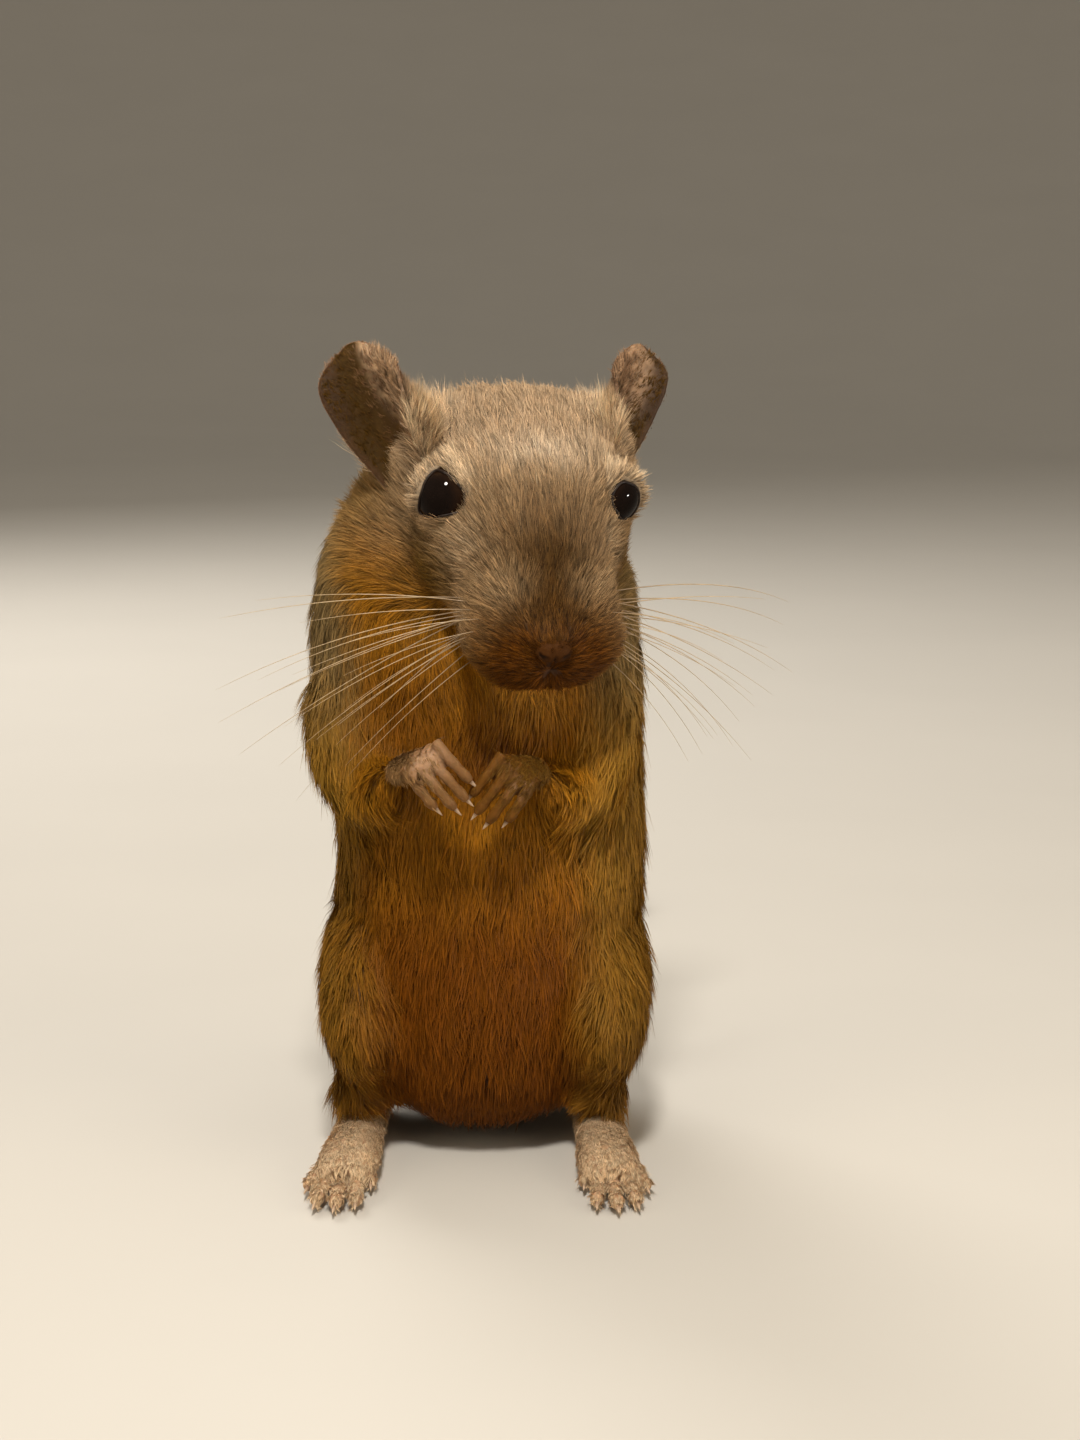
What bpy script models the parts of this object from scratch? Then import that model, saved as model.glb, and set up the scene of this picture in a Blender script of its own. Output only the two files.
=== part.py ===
"""A Mongolian gerbil sitting upright with its forepaws at its chest, as a still, life-size model.

The animal looks along -Y and rests on the floor z = 0 on its hind feet and tail. Lengths are in
metres; sizes are written as a number of millimetres times MM. The surfaces lie where the tips of
the short coat are.
"""

import math

import bmesh
import bpy
import numpy as np
from mathutils import Matrix, Vector

MM = 0.001
GAP = 0.3 * MM
SAME_PLACE = 0.0001 * MM
SEED = 7
SIDES = (("right", -1), ("left", 1))

# The head's own frame has its origin midway between the eyes, +Y to the nape and +Z to the crown.
HEAD_PLACE = Vector((5.5, -13.0, 74.0)) * MM
HEAD_NOD = math.radians(36)
HEAD_TURN = math.radians(12)

EYE_RADIUS = 3.5 * MM
EYE_GRID = (16, 9)
EYE_PLACE = Vector((8.5, 0.4, 0.1)) * MM
EYE_LOOK = Vector((0.76, -0.60, 0.25)).normalized()
LID_RADIUS = 3.3 * MM
LID_THICK = 0.6 * MM
LID_ALONG = 2.0 * MM

COAT_TAUPE = (0.36, 0.27, 0.19)
POINT_BROWN = (0.13, 0.085, 0.055)
EAR_BROWN = (0.20, 0.13, 0.10)
BARE_PINK = (0.50, 0.33, 0.26)
EYE_BLACK = (0.006, 0.005, 0.005)


def clear_scene():
    for obj in list(bpy.data.objects):
        bpy.data.objects.remove(obj)


def material(name, colour, roughness):
    made = bpy.data.materials.new(name)
    made.use_nodes = True
    shader = made.node_tree.nodes["Principled BSDF"]
    shader.inputs["Base Color"].default_value = (*colour, 1)
    shader.inputs["Roughness"].default_value = roughness
    shader.inputs["Metallic"].default_value = 0
    return made


def new_object(name, points, faces, finish, parent):
    mesh = bpy.data.meshes.new(name)
    mesh.from_pydata([tuple(p) for p in points], [], faces)
    mesh.materials.append(finish)
    mesh.shade_smooth()
    obj = bpy.data.objects.new(name, mesh)
    obj.parent = parent
    bpy.context.scene.collection.objects.link(obj)
    return obj


def through(rows, count):
    """A Catmull-Rom curve through the rows, read at count even steps."""
    rows = np.asarray(rows, float)
    padded = np.vstack([2 * rows[0] - rows[1], rows, 2 * rows[-1] - rows[-2]])
    steps = np.linspace(0, len(rows) - 1, count)
    first = np.minimum(steps.astype(int), len(rows) - 2)
    t = (steps - first)[:, None]
    a, b, c, d = (padded[first + k] for k in range(4))
    return 0.5 * (2 * b + (c - a) * t + (2 * a - 5 * b + 4 * c - d) * t**2 + (3 * b - a - 3 * c + d) * t**3)


def rings_along(rows, across, sides, power=2.0):
    """One closed ring per row (x, y, z, half width, reach above, reach below), square to the path.

    The width runs along across. Above is to the left of the path seen from the across end.
    """
    rows = np.asarray(rows, float)
    centres = rows[:, :3]
    along = np.gradient(centres, axis=0)
    along /= np.linalg.norm(along, axis=1)[:, None]
    wide = across - (along @ np.asarray(across))[:, None] * along
    wide /= np.linalg.norm(wide, axis=1)[:, None]
    under = np.cross(along, wide)
    angle = np.arange(sides) * 2 * np.pi / sides
    cosine, sine = np.cos(angle), np.sin(angle)
    x = np.sign(cosine) * np.abs(cosine) ** (2 / power)
    y = np.sign(sine) * np.abs(sine) ** (2 / power)
    reach = np.where(sine > 0, rows[:, 5:6], rows[:, 4:5])
    return (
        centres[:, None]
        + (rows[:, 3:4] * x)[..., None] * wide[:, None]
        + (reach * y)[..., None] * under[:, None]
    )


def skin_of(rings):
    """Points and outward faces of the closed surface over the rings, with a pole past each end ring."""
    count, sides = rings.shape[:2]
    first, last = rings[0].mean(0), rings[-1].mean(0)
    first += 0.35 * (first - rings[1].mean(0))
    last += 0.35 * (last - rings[-2].mean(0))
    points = np.vstack([rings.reshape(-1, 3), first, last])
    faces = []
    for i in range(count - 1):
        for j in range(sides):
            k = (j + 1) % sides
            faces.append((i * sides + j, i * sides + k, (i + 1) * sides + k, (i + 1) * sides + j))
    for j in range(sides):
        k = (j + 1) % sides
        faces.append((count * sides, k, j))
        faces.append((count * sides + 1, (count - 1) * sides + j, (count - 1) * sides + k))
    return points, faces


def tube(name, rows, finish, parent, grid, across=(1, 0, 0), power=2.0):
    """A closed length of grid = (sides, rings) over the rows (x, y, z, half width, above, below) in mm."""
    sides, count = grid
    rings = rings_along(through(rows, count) * MM, across, sides, power)
    return new_object(name, *skin_of(rings), finish, parent)


def round_rows(rows):
    """Rows (x, y, z, radius) as rows of a tube that is as deep as it is wide."""
    return [(x, y, z, r, r, r) for x, y, z, r in rows]


def ball(name, place, radii, finish, parent, grid, turn=None):
    """A closed ellipsoid of grid = (sides, rings); its radii are along its own axes, which turn sets."""
    sides, rings = grid
    steps = np.linspace(0, np.pi, rings + 2)[1:-1]
    rows = [(0, math.cos(s), 0, *[math.sin(s)] * 3) for s in steps]
    points, faces = skin_of(rings_along(rows, (1, 0, 0), sides))
    points[-2:] = (0, 1, 0), (0, -1, 0)
    points = points * np.asarray(radii)
    if turn is not None:
        points = points @ np.array(turn).T
    return new_object(name, points + np.asarray(place), faces, finish, parent)


def baked(obj):
    """Applies the object's modifiers."""
    bpy.context.view_layer.update()
    graph = bpy.context.evaluated_depsgraph_get()
    mesh = bpy.data.meshes.new_from_object(obj.evaluated_get(graph))
    obj.modifiers.clear()
    obj.data = mesh
    return obj


def drop(objects):
    for obj in objects:
        bpy.data.objects.remove(obj)


def combine(obj, others, operation, solver="EXACT"):
    """Joins the others to obj, or cuts them from it, in one Boolean, and removes them."""
    group = bpy.data.collections.new("pieces")
    bpy.context.scene.collection.children.link(group)
    for other in others:
        group.objects.link(other)
    boolean = obj.modifiers.new("combine", "BOOLEAN")
    boolean.operand_type = "COLLECTION"
    boolean.collection = group
    boolean.operation = operation
    boolean.solver = solver
    baked(obj)
    drop(others)
    bpy.data.collections.remove(group)
    return keep_largest(obj)


def keep_largest(obj):
    """Leaves only the closed surface that holds the most, and drops scraps and sealed hollows."""
    work = bmesh.new()
    work.from_mesh(obj.data)
    left, shells = set(work.verts), []
    while left:
        shell, edge = set(), [left.pop()]
        while edge:
            vert = edge.pop()
            shell.add(vert)
            near = {e.other_vert(vert) for e in vert.link_edges} & left
            left -= near
            edge.extend(near)
        shells.append(shell)
    shells.sort(key=lambda s: volume_of({f for v in s for f in v.link_faces}))
    bmesh.ops.delete(work, geom=[v for s in shells[:-1] for v in s], context="VERTS")
    work.to_mesh(obj.data)
    work.free()
    obj.data.shade_smooth()
    return obj


def volume_of(faces):
    total = 0.0
    for face in faces:
        corners = [v.co for v in face.verts]
        for b, c in zip(corners[1:], corners[2:]):
            total += corners[0].dot(b.cross(c)) / 6
    return total


def copy_of(obj, name):
    made = obj.copy()
    made.data = obj.data.copy()
    made.name = name
    bpy.context.scene.collection.objects.link(made)
    return made


def grown(obj):
    """A copy of the object whose surface stands out by the gap, to cut a neighbour with."""
    cutter = copy_of(obj, obj.name + "_cutter")
    normals = [v.normal.copy() for v in cutter.data.vertices]
    for vert, normal in zip(cutter.data.vertices, normals):
        vert.co += normal * GAP
    return cutter


def sliced(obj, place, outward):
    """Cuts off what lies past the plane, and closes the cut flat."""
    work = bmesh.new()
    work.from_mesh(obj.data)
    into = obj.matrix_world.inverted()
    plane = into @ Vector(place)
    normal = (obj.matrix_world.to_3x3().transposed() @ Vector(outward)).normalized()
    cut = bmesh.ops.bisect_plane(
        work,
        geom=work.verts[:] + work.edges[:] + work.faces[:],
        dist=SAME_PLACE,
        plane_co=plane,
        plane_no=normal,
        clear_outer=True,
    )
    rim = [e for e in cut["geom_cut"] if isinstance(e, bmesh.types.BMEdge)]
    if rim:
        bmesh.ops.triangle_fill(work, edges=rim, use_beauty=True, normal=normal)
        bmesh.ops.recalc_face_normals(work, faces=work.faces[:])
    work.to_mesh(obj.data)
    work.free()
    return keep_largest(obj)


def pushed(points, place, reach, amount, way):
    """Moves the points near place along way; the push fades out over reach. All in mm."""
    near = np.exp(-((points - np.asarray(place) * MM) ** 2).sum(1) / (reach * MM) ** 2)
    return points + near[:, None] * amount * MM * np.asarray(way)


# Each row of the head is (y, half width, top z, widest z, bottom z), from the nose to the nape.
HEAD_ROWS = (
    (-18.3, 2.3, -2.9, -4.8, -7.2),
    (-17.2, 4.7, -1.4, -5.6, -10.0),
    (-15.2, 6.6, 0.0, -6.2, -12.0),
    (-12.5, 7.8, 1.5, -6.4, -13.0),
    (-9.5, 8.5, 3.0, -6.0, -13.4),
    (-6.0, 9.4, 4.5, -5.2, -13.7),
    (-2.0, 10.5, 5.7, -4.2, -13.9),
    (2.0, 11.7, 6.3, -3.6, -14.0),
    (6.0, 12.7, 6.3, -3.6, -14.0),
    (10.0, 13.1, 5.6, -3.6, -13.4),
    (14.0, 12.1, 3.6, -4.0, -12.2),
    (17.5, 9.0, 0.4, -4.6, -9.8),
    (19.8, 4.6, -2.6, -5.2, -7.6),
)
HEAD_POWER = 2.3
HEAD_SIDES = 30
HEAD_RINGS = 25
# Forms that stand out from the head or sink into it: (x, y, z), reach, amount and way, on both sides.
HEAD_FORMS = (
    ((5.6, -14.0, -7.2), 3.4, 2.3, (0.78, -0.62, 0.0)),
    ((3.8, -15.4, -10.4), 2.6, 1.2, (0.4, -0.4, -0.5)),
    ((9.4, -8.0, -5.6), 2.4, -0.8, (0.9, -0.3, 0.1)),
    ((0.0, 7.0, 6.0), 7.0, 1.4, (0.0, 0.0, -1.0)),
    ((7.6, -8.4, -0.6), 2.8, -1.1, (0.8, -0.1, 0.5)),
    ((8.4, -4.6, 1.6), 2.8, -0.9, (0.9, -0.3, 0.3)),
    ((7.8, 0.5, 4.6), 3.0, 1.0, (0.7, -0.2, 0.6)),
    ((9.6, -1.5, -9.5), 4.6, 1.4, (0.8, -0.2, -0.4)),
    ((11.6, 6.0, -7.0), 5.5, 0.8, (0.9, 0.0, -0.3)),
)

# The lower jaw's rows are (y, half width, top z, widest z, bottom z), from the chin to the throat.
JAW_ROWS = (
    (-13.4, 1.8, -12.0, -12.9, -13.8),
    (-12.0, 3.2, -11.4, -13.3, -15.4),
    (-9.4, 4.3, -11.0, -13.6, -16.2),
    (-6.0, 5.2, -11.0, -13.8, -16.4),
    (-2.2, 5.8, -11.2, -13.8, -16.2),
    (0.4, 4.8, -11.8, -13.8, -15.6),
)
JAW_GRID = (18, 10)


def section_rows(rows):
    """Rows (y, half width, top, widest, bottom) as rows of a tube along the head's own Y."""
    return [(0, y, mid, wide, top - mid, mid - low) for y, wide, top, mid, low in rows]


def make_head(parent, finish):
    rows = through(section_rows(HEAD_ROWS), HEAD_RINGS) * MM
    points, faces = skin_of(rings_along(rows, (1, 0, 0), HEAD_SIDES, HEAD_POWER))
    for place, reach, amount, way in HEAD_FORMS:
        for side in (-1, 1) if place[0] else (1,):
            flip = np.array((side, 1, 1))
            points = pushed(points, place * flip, reach, amount, way * flip)
    return new_object("head", points, faces, finish, parent)


def eye_axes(side):
    """Turns the eye's own axes into the head's: +Y out along its look, +X along the slit of the lids."""
    look = Vector((EYE_LOOK.x * side, EYE_LOOK.y, EYE_LOOK.z))
    slit = Vector((0.0, 1.0, 0.42))
    slit = (slit - slit.dot(look) * look).normalized()
    return Matrix((slit, look, slit.cross(look))).transposed()


def eye_place(side):
    return Vector((EYE_PLACE.x * side, EYE_PLACE.y, EYE_PLACE.z))


LID_SIDES = 5
LID_STEPS = 20
LID_HEIGHT = 0.84


def make_lid(name, side, parent, finish):
    """The rim of both lids, a ring round the eyeball that is a little lower than it is long."""
    angle = np.arange(LID_STEPS) * 2 * np.pi / LID_STEPS
    turn = np.arange(LID_SIDES) * 2 * np.pi / LID_SIDES
    out = LID_RADIUS + LID_THICK * np.cos(turn)
    ring = np.empty((LID_STEPS, LID_SIDES, 3))
    ring[..., 0] = np.cos(angle)[:, None] * out
    ring[..., 2] = np.sin(angle)[:, None] * out * LID_HEIGHT
    ring[..., 1] = LID_ALONG + LID_THICK * np.sin(turn)
    points = ring.reshape(-1, 3) @ np.array(eye_axes(side)).T + np.array(eye_place(side))
    faces = []
    for i in range(LID_STEPS):
        for j in range(LID_SIDES):
            a, b = i * LID_SIDES, (i + 1) % LID_STEPS * LID_SIDES
            k = (j + 1) % LID_SIDES
            faces.append((a + j, a + k, b + k, b + j))
    made = new_object(name, points, faces, finish, parent)
    return outward(made)


def outward(obj):
    """Points all faces out of the closed mesh."""
    work = bmesh.new()
    work.from_mesh(obj.data)
    bmesh.ops.recalc_face_normals(work, faces=work.faces[:])
    if work.calc_volume(signed=True) < 0:
        bmesh.ops.reverse_faces(work, faces=work.faces[:])
    work.to_mesh(obj.data)
    work.free()
    return obj


NOSE_PLACE = (0.0, -18.6, -4.0)
NOSE_RADII = (2.1, 1.2, 1.5)
NOSE_GRID = (14, 7)
NOSTRIL_PLACE = (1.15, -19.5, -4.3)
NOSTRIL_RADII = (0.75, 0.8, 0.42)
NOSTRIL_GRID = (8, 5)
NOSTRIL_TILT = math.radians(35)
PHILTRUM_ROWS = (
    (0, -19.3, -5.8, 0.25),
    (0, -18.6, -7.6, 0.3),
    (0, -17.4, -9.8, 0.3),
    (0, -15.8, -11.6, 0.25),
)
PHILTRUM_GRID = (6, 7)


def make_nose(parent, finish):
    """A small bare nose with a slanted pit for each nostril."""
    nose = ball("nose", Vector(NOSE_PLACE) * MM, np.array(NOSE_RADII) * MM, finish, parent, NOSE_GRID)
    radii = np.array(NOSTRIL_RADII) * MM
    pits = []
    for side, sign in SIDES:
        x, y, z = NOSTRIL_PLACE
        turn = Matrix.Rotation(NOSTRIL_TILT * sign, 3, "Y")
        place = Vector((x * sign, y, z)) * MM
        pits.append(ball("nostril_" + side, place, radii, finish, parent, NOSTRIL_GRID, turn))
    return combine(nose, pits, "DIFFERENCE")


# The whiskers stand in rows on each side of the muzzle, from a row's first by the nose to its last,
# and go out, then back and down. Their roots are sunk into the head.
WHISKER_ROWS = 3
WHISKERS_PER_ROW = 3
WHISKER_FIRST = np.array((6.4, -15.6, -3.4))
WHISKER_BACK = np.array((2.4, 5.4, 0.0))
WHISKER_DOWN = np.array((0.0, 0.0, -6.0))
WHISKER_LENGTHS = (11.0, 25.0)
WHISKER_RADII = (0.34, 0.12)
WHISKER_SUNK = 2.0
WHISKER_GRID = (3, 6)
WHISKER_DROOP = np.array((-0.05, 0.14, -0.34))
# The way of a whisker at its root, and how it turns along a row and down the rows.
WHISKER_WAY = np.array((1.0, -0.10, 0.05))
WHISKER_WAY_BACK = np.array((0.0, 0.35, 0.0))
WHISKER_WAY_DOWN = np.array((0.0, -0.25, -0.8))


def make_whiskers(side, parent, finish):
    """The longest whiskers of one side, one tapered spine for each."""
    made = []
    for low in (np.arange(WHISKER_ROWS) + 0.5) / WHISKER_ROWS:
        for back in (np.arange(WHISKERS_PER_ROW) + 1) / WHISKERS_PER_ROW:
            start = WHISKER_FIRST + WHISKER_BACK * back + WHISKER_DOWN * low
            way = WHISKER_WAY + WHISKER_WAY_BACK * back + WHISKER_WAY_DOWN * low
            way /= np.linalg.norm(way)
            length = WHISKER_LENGTHS[0] + (WHISKER_LENGTHS[1] - WHISKER_LENGTHS[0]) * back
            rows = []
            for t in np.linspace(-WHISKER_SUNK / length, 1, WHISKER_GRID[1]):
                place = start + length * (way * t + WHISKER_DROOP * t * abs(t))
                radius = WHISKER_RADII[0] + (WHISKER_RADII[1] - WHISKER_RADII[0]) * max(t, 0)
                rows.append((place[0] * side, place[1], place[2], radius))
            name = f"whisker_{len(made)}"
            made.append(tube(name, round_rows(rows), finish, parent, WHISKER_GRID, (0, 0.3, 1)))
    return [outward(whisker) for whisker in made]


# Each row of an ear is (height, half width along its curve, lean to the outside, radius of its cup,
# set back), in mm.
EAR_ROWS = (
    (-3.0, 4.2, 0.0, 2.9, -1.0),
    (0.0, 5.2, 0.0, 3.6, -0.4),
    (3.0, 6.2, 0.1, 4.3, 0.1),
    (5.8, 6.4, 0.5, 5.0, 0.5),
    (8.0, 6.3, 0.9, 5.6, 0.9),
    (9.8, 5.5, 1.3, 6.2, 1.4),
    (11.0, 4.2, 1.5, 6.8, 1.8),
    (11.7, 2.4, 1.5, 7.2, 2.1),
)
EAR_RINGS = 12
EAR_ARC = 14
EAR_THICK = 0.8
EAR_BASES = {"right": Vector((-11.2, 9.0, -0.6)) * MM, "left": Vector((10.2, 9.4, -1.9)) * MM}
# The way each ear stands and the way its cup opens, in the head's frame.
EAR_STANDS = {"right": (-0.51, 0.35, 0.78), "left": (0.40, 0.42, 0.82)}
EAR_OPENS = {"right": (-0.60, -0.78, 0.0), "left": (0.76, -0.65, 0.0)}
# The share of its width and of its lean that each ear has.
EAR_WIDTHS = {"right": 1.0, "left": 0.86}
EAR_LEANS = {"right": 0.7, "left": 1.2}
# How far the outer edge of an ear's top stands above the inner one, between two heights.
EAR_RISE = 1.3
EAR_RISES = (2.0, 11.0)


def make_ear(name, side, sign, parent, finish):
    """A cup rolled round its long axis, with an inner and an outer face joined round the rim."""
    rows = through(EAR_ROWS, EAR_RINGS) * MM
    grids = []
    for face in (-1, 1):
        grid = np.empty((EAR_RINGS, EAR_ARC + 1, 3))
        for i, (height, half, lean, radius, back) in enumerate(rows):
            across = np.linspace(-1, 1, EAR_ARC + 1)
            phi = (across * half * EAR_WIDTHS[side] - sign * lean * EAR_LEANS[side]) / radius
            thick = EAR_THICK * MM * (1 - 0.35 * np.abs(across) ** 3) * (1 - 0.3 * i / EAR_RINGS)
            wall = radius + face * thick / 2
            grid[i, :, 0] = wall * np.sin(phi)
            grid[i, :, 1] = radius - wall * np.cos(phi) - back
            share = np.clip((height / MM - EAR_RISES[0]) / (EAR_RISES[1] - EAR_RISES[0]), 0, 1)
            grid[i, :, 2] = height - EAR_RISE * MM * across * sign * share**2 * (3 - 2 * share)
        grids.append(grid)
    points = np.vstack([g.reshape(-1, 3) for g in grids])
    wide, half = EAR_ARC + 1, EAR_RINGS * (EAR_ARC + 1)
    faces = []
    for i in range(EAR_RINGS - 1):
        for j in range(EAR_ARC):
            a = i * wide + j
            quad = (a, a + 1, a + wide + 1, a + wide)
            faces.append(quad)
            faces.append(tuple(half + v for v in reversed(quad)))
    border = list(range(wide))
    border += [i * wide + EAR_ARC for i in range(1, EAR_RINGS)]
    border += [(EAR_RINGS - 1) * wide + j for j in range(EAR_ARC - 1, -1, -1)]
    border += [i * wide for i in range(EAR_RINGS - 2, 0, -1)]
    for a, b in zip(border, border[1:] + border[:1]):
        faces.append((b, a, half + a, half + b))
    up = Vector(EAR_STANDS[side]).normalized()
    opens = Vector(EAR_OPENS[side])
    opens = (opens - opens.dot(up) * up).normalized()
    turn = Matrix((opens.cross(up), opens, up)).transposed()
    points = points @ np.array(turn).T + np.array(EAR_BASES[side])
    return outward(new_object(name, points, faces, finish, parent))


# The trunk's rows are (x, y, z, half width, reach to the front, reach to the back), from the rump up.
TRUNK_ROWS = (
    (0.3, 8.0, 2.6, 9.0, 9.5, 10.0),
    (0.3, 7.5, 5.6, 13.8, 16.0, 16.5),
    (0.3, 7.0, 12.0, 16.8, 20.4, 20.4),
    (0.3, 6.0, 20.5, 17.6, 21.4, 21.7),
    (1.0, 5.5, 28.5, 18.0, 20.8, 21.8),
    (1.0, 5.0, 36.0, 18.1, 20.3, 21.2),
    (0.6, 4.2, 44.0, 18.4, 19.6, 20.0),
    (-0.1, 3.2, 51.0, 18.9, 18.0, 18.6),
    (-0.6, 2.2, 57.0, 19.0, 15.6, 17.2),
    (-0.5, 1.0, 62.5, 18.2, 12.8, 16.6),
    (0.0, -0.4, 68.0, 16.2, 10.4, 15.4),
    (0.8, -1.6, 73.0, 13.6, 8.2, 13.4),
    (2.0, -2.6, 77.5, 10.4, 5.6, 10.4),
    (2.8, -3.4, 81.0, 6.6, 3.0, 6.6),
)
TRUNK_GRID = (28, 20)
TRUNK_POWER = 2.2
NECK_CUT = Vector((0.0, 2.0, 61.5)) * MM
NECK_WAY = Vector((0.0, -0.22, 1.0)).normalized()

# Rows of the limbs on the animal's left are (x, y, z, half width, above, below), and a grid is how
# many sides and rings a tube has.
THIGH_ROWS = (
    (9.9, 17.0, 21.5, 3.6, 4.8, 4.8),
    (10.4, 13.5, 21.0, 6.8, 10.2, 9.0),
    (11.2, 8.0, 20.0, 7.7, 13.8, 12.4),
    (12.0, 2.0, 18.6, 7.2, 14.0, 13.2),
    (12.8, -4.0, 17.4, 6.3, 12.0, 12.2),
    (13.5, -9.0, 16.4, 5.2, 9.0, 9.0),
    (13.5, -12.8, 15.8, 3.7, 5.8, 6.0),
    (13.4, -15.0, 15.5, 2.0, 2.8, 3.0),
)
THIGH_GRID = (20, 13)
SHIN_ROWS = (
    (13.6, -9.5, 8.2, 2.2, 2.4, 2.4),
    (13.6, -7.0, 7.2, 3.8, 4.0, 3.8),
    (13.4, 0.0, 5.8, 4.2, 4.4, 3.8),
    (13.1, 6.5, 4.8, 3.7, 4.0, 4.0),
    (13.0, 10.5, 3.9, 2.6, 2.8, 3.4),
)
SHIN_GRID = (14, 9)
FOOT_ROWS = (
    (12.9, 9.6, 2.2, 1.9, 1.8, 2.3),
    (13.0, 7.0, 2.3, 2.6, 2.6, 2.6),
    (13.2, 0.0, 2.2, 2.7, 2.4, 2.6),
    (13.6, -8.0, 2.0, 2.8, 2.2, 2.4),
    (14.0, -15.0, 1.9, 3.3, 2.0, 2.3),
    (14.3, -19.0, 1.6, 3.1, 1.7, 2.0),
    (14.5, -21.0, 1.4, 2.2, 1.2, 1.7),
)
FOOT_GRID = (14, 12)
UPPER_ARM_ROWS = round_rows(
    (
        (13.0, 0.0, 56.0, 3.4),
        (13.4, -3.2, 52.5, 5.6),
        (13.2, -6.8, 47.5, 5.8),
        (12.4, -9.8, 43.0, 5.0),
        (11.4, -11.6, 40.4, 3.4),
    )
)
UPPER_ARM_GRID = (16, 10)
# The arms' middle line lies a little to the right of the feet's, and the thighs' to the left of it.
ARMS_SHIFT = -0.7
THIGHS_SHIFT = 0.5


def mirrored(rows, sign, shift=0.0):
    return [(x * sign + shift, *rest) for x, *rest in rows]


# The wrist, the knuckles and the point between the finger tips of each hand.
HANDS = {
    "right": {
        "elbow": (-12.2, -12.0, 41.6),
        "wrist": (-7.7, -18.8, 46.0),
        "knuckles": (-5.1, -22.2, 47.2),
        "tips": (-1.6, -23.6, 43.0),
    },
    "left": {
        "elbow": (10.6, -12.0, 41.2),
        "wrist": (6.1, -18.8, 45.8),
        "knuckles": (3.9, -21.4, 45.8),
        "tips": (1.2, -22.4, 42.0),
    },
}
FOREARM_RADII = (3.0, 3.9, 3.6, 2.7, 1.9)
FOREARM_GRID = (14, 8)


def make_forearm(name, side, parent, finish):
    """The forearm, from the elbow up to the wrist."""
    points = HANDS[side]
    elbow, wrist = np.array(points["elbow"]), np.array(points["wrist"])
    steps = np.linspace(0, 1, len(FOREARM_RADII))
    rows = [(*(elbow + (wrist - elbow) * s), r) for s, r in zip(steps, FOREARM_RADII)]
    return tube(name, round_rows(rows), finish, parent, FOREARM_GRID)


FINGER_LENGTHS = (3.6, 4.3, 4.2, 3.5)
FINGER_RADIUS = 0.64
FINGER_SPREAD = 0.03
FINGERS_HALF = 1.95
DIGIT_GRID = (6, 5)
DIGIT_ARCH = 0.28
CLAW_RADIUS = 0.40
CLAW_LENGTH = 1.4
CLAW_GRID = (4, 4)
# Each row of a claw is (share along it, share it has dropped, share of its radius).
CLAW_ROWS = ((0, 0, 1.0), (0.45, 0.10, 0.85), (0.8, 0.32, 0.55), (1.0, 0.6, 0.28))
PALM_HALF = 2.4
PALM_GRID = (12, 8)


def digit(name, root, way, down, length, radius, claw, finish, parent):
    """A finger or toe that arches towards down, with a pad at its tip and a curved claw."""
    root, way, down = (np.asarray(v, float) for v in (root, way, down))
    bone = []
    for share, thick in ((-0.35, 1.0), (0.15, 1.0), (0.5, 0.92), (0.8, 1.0), (1.0, 0.7)):
        sag = DIGIT_ARCH * max(share, 0) ** 2
        bone.append((*(root + length * (way * share + down * sag)), radius * thick))
    tip = np.array(bone[-1][:3]) - way * 0.5
    nail = [(*(tip + claw * (way * along + down * drop)), CLAW_RADIUS * r) for along, drop, r in CLAW_ROWS]
    across = np.cross(way, down)
    return [
        tube(name, round_rows(bone), finish, parent, DIGIT_GRID, across),
        tube(name + "_claw", round_rows(nail), finish, parent, CLAW_GRID, across),
    ]


def make_hand(name, side, parent, finish):
    """The drooping forepaw: a flat palm, four fingers side by side and their claws."""
    wrist, knuckles, tips = (np.array(HANDS[side][key]) for key in ("wrist", "knuckles", "tips"))
    way = (tips - knuckles) / np.linalg.norm(tips - knuckles)
    across = np.cross(way, (0, -1, 0))
    across /= np.linalg.norm(across)
    palm_side = np.cross(across, way)
    palm_side *= math.copysign(1, palm_side[1])
    rows = [
        (*(wrist + (knuckles - wrist) * 0.12), 1.6, 1.3, 1.3),
        (*(wrist + (knuckles - wrist) * 0.55), 2.0, 1.4, 1.4),
        (*knuckles, PALM_HALF, 1.35, 1.35),
        (*(knuckles + way * 1.2 + palm_side * 0.2), PALM_HALF, 1.1, 1.1),
        (*(knuckles + way * 2.2 + palm_side * 0.4), 1.7, 0.7, 0.7),
    ]
    palm = tube(name, rows, finish, parent, PALM_GRID, across)
    fingers = []
    for k, length in enumerate(FINGER_LENGTHS):
        off = (k - 1.5) / 1.5
        root = knuckles + across * off * FINGERS_HALF + way * (1.2 - 0.5 * off * off)
        spread = way + across * off * FINGER_SPREAD
        spread /= np.linalg.norm(spread)
        size = (length, FINGER_RADIUS, CLAW_LENGTH)
        fingers += digit(f"finger_{k}", root, spread, palm_side, *size, finish, parent)
    return combine(palm, fingers, "UNION", "MANIFOLD")


TOE_LENGTHS = (3.6, 6.4, 7.0, 6.4, 4.0)
TOE_ROOTS = ((-2.7, 3.4), (-1.6, 0.4), (0.0, 0.0), (1.6, 0.4), (2.8, 2.6))
TOE_RADIUS = 0.95
TOE_CLAW = 2.0
TOE_DROP = (0.0, 0.0, -0.12)


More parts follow.
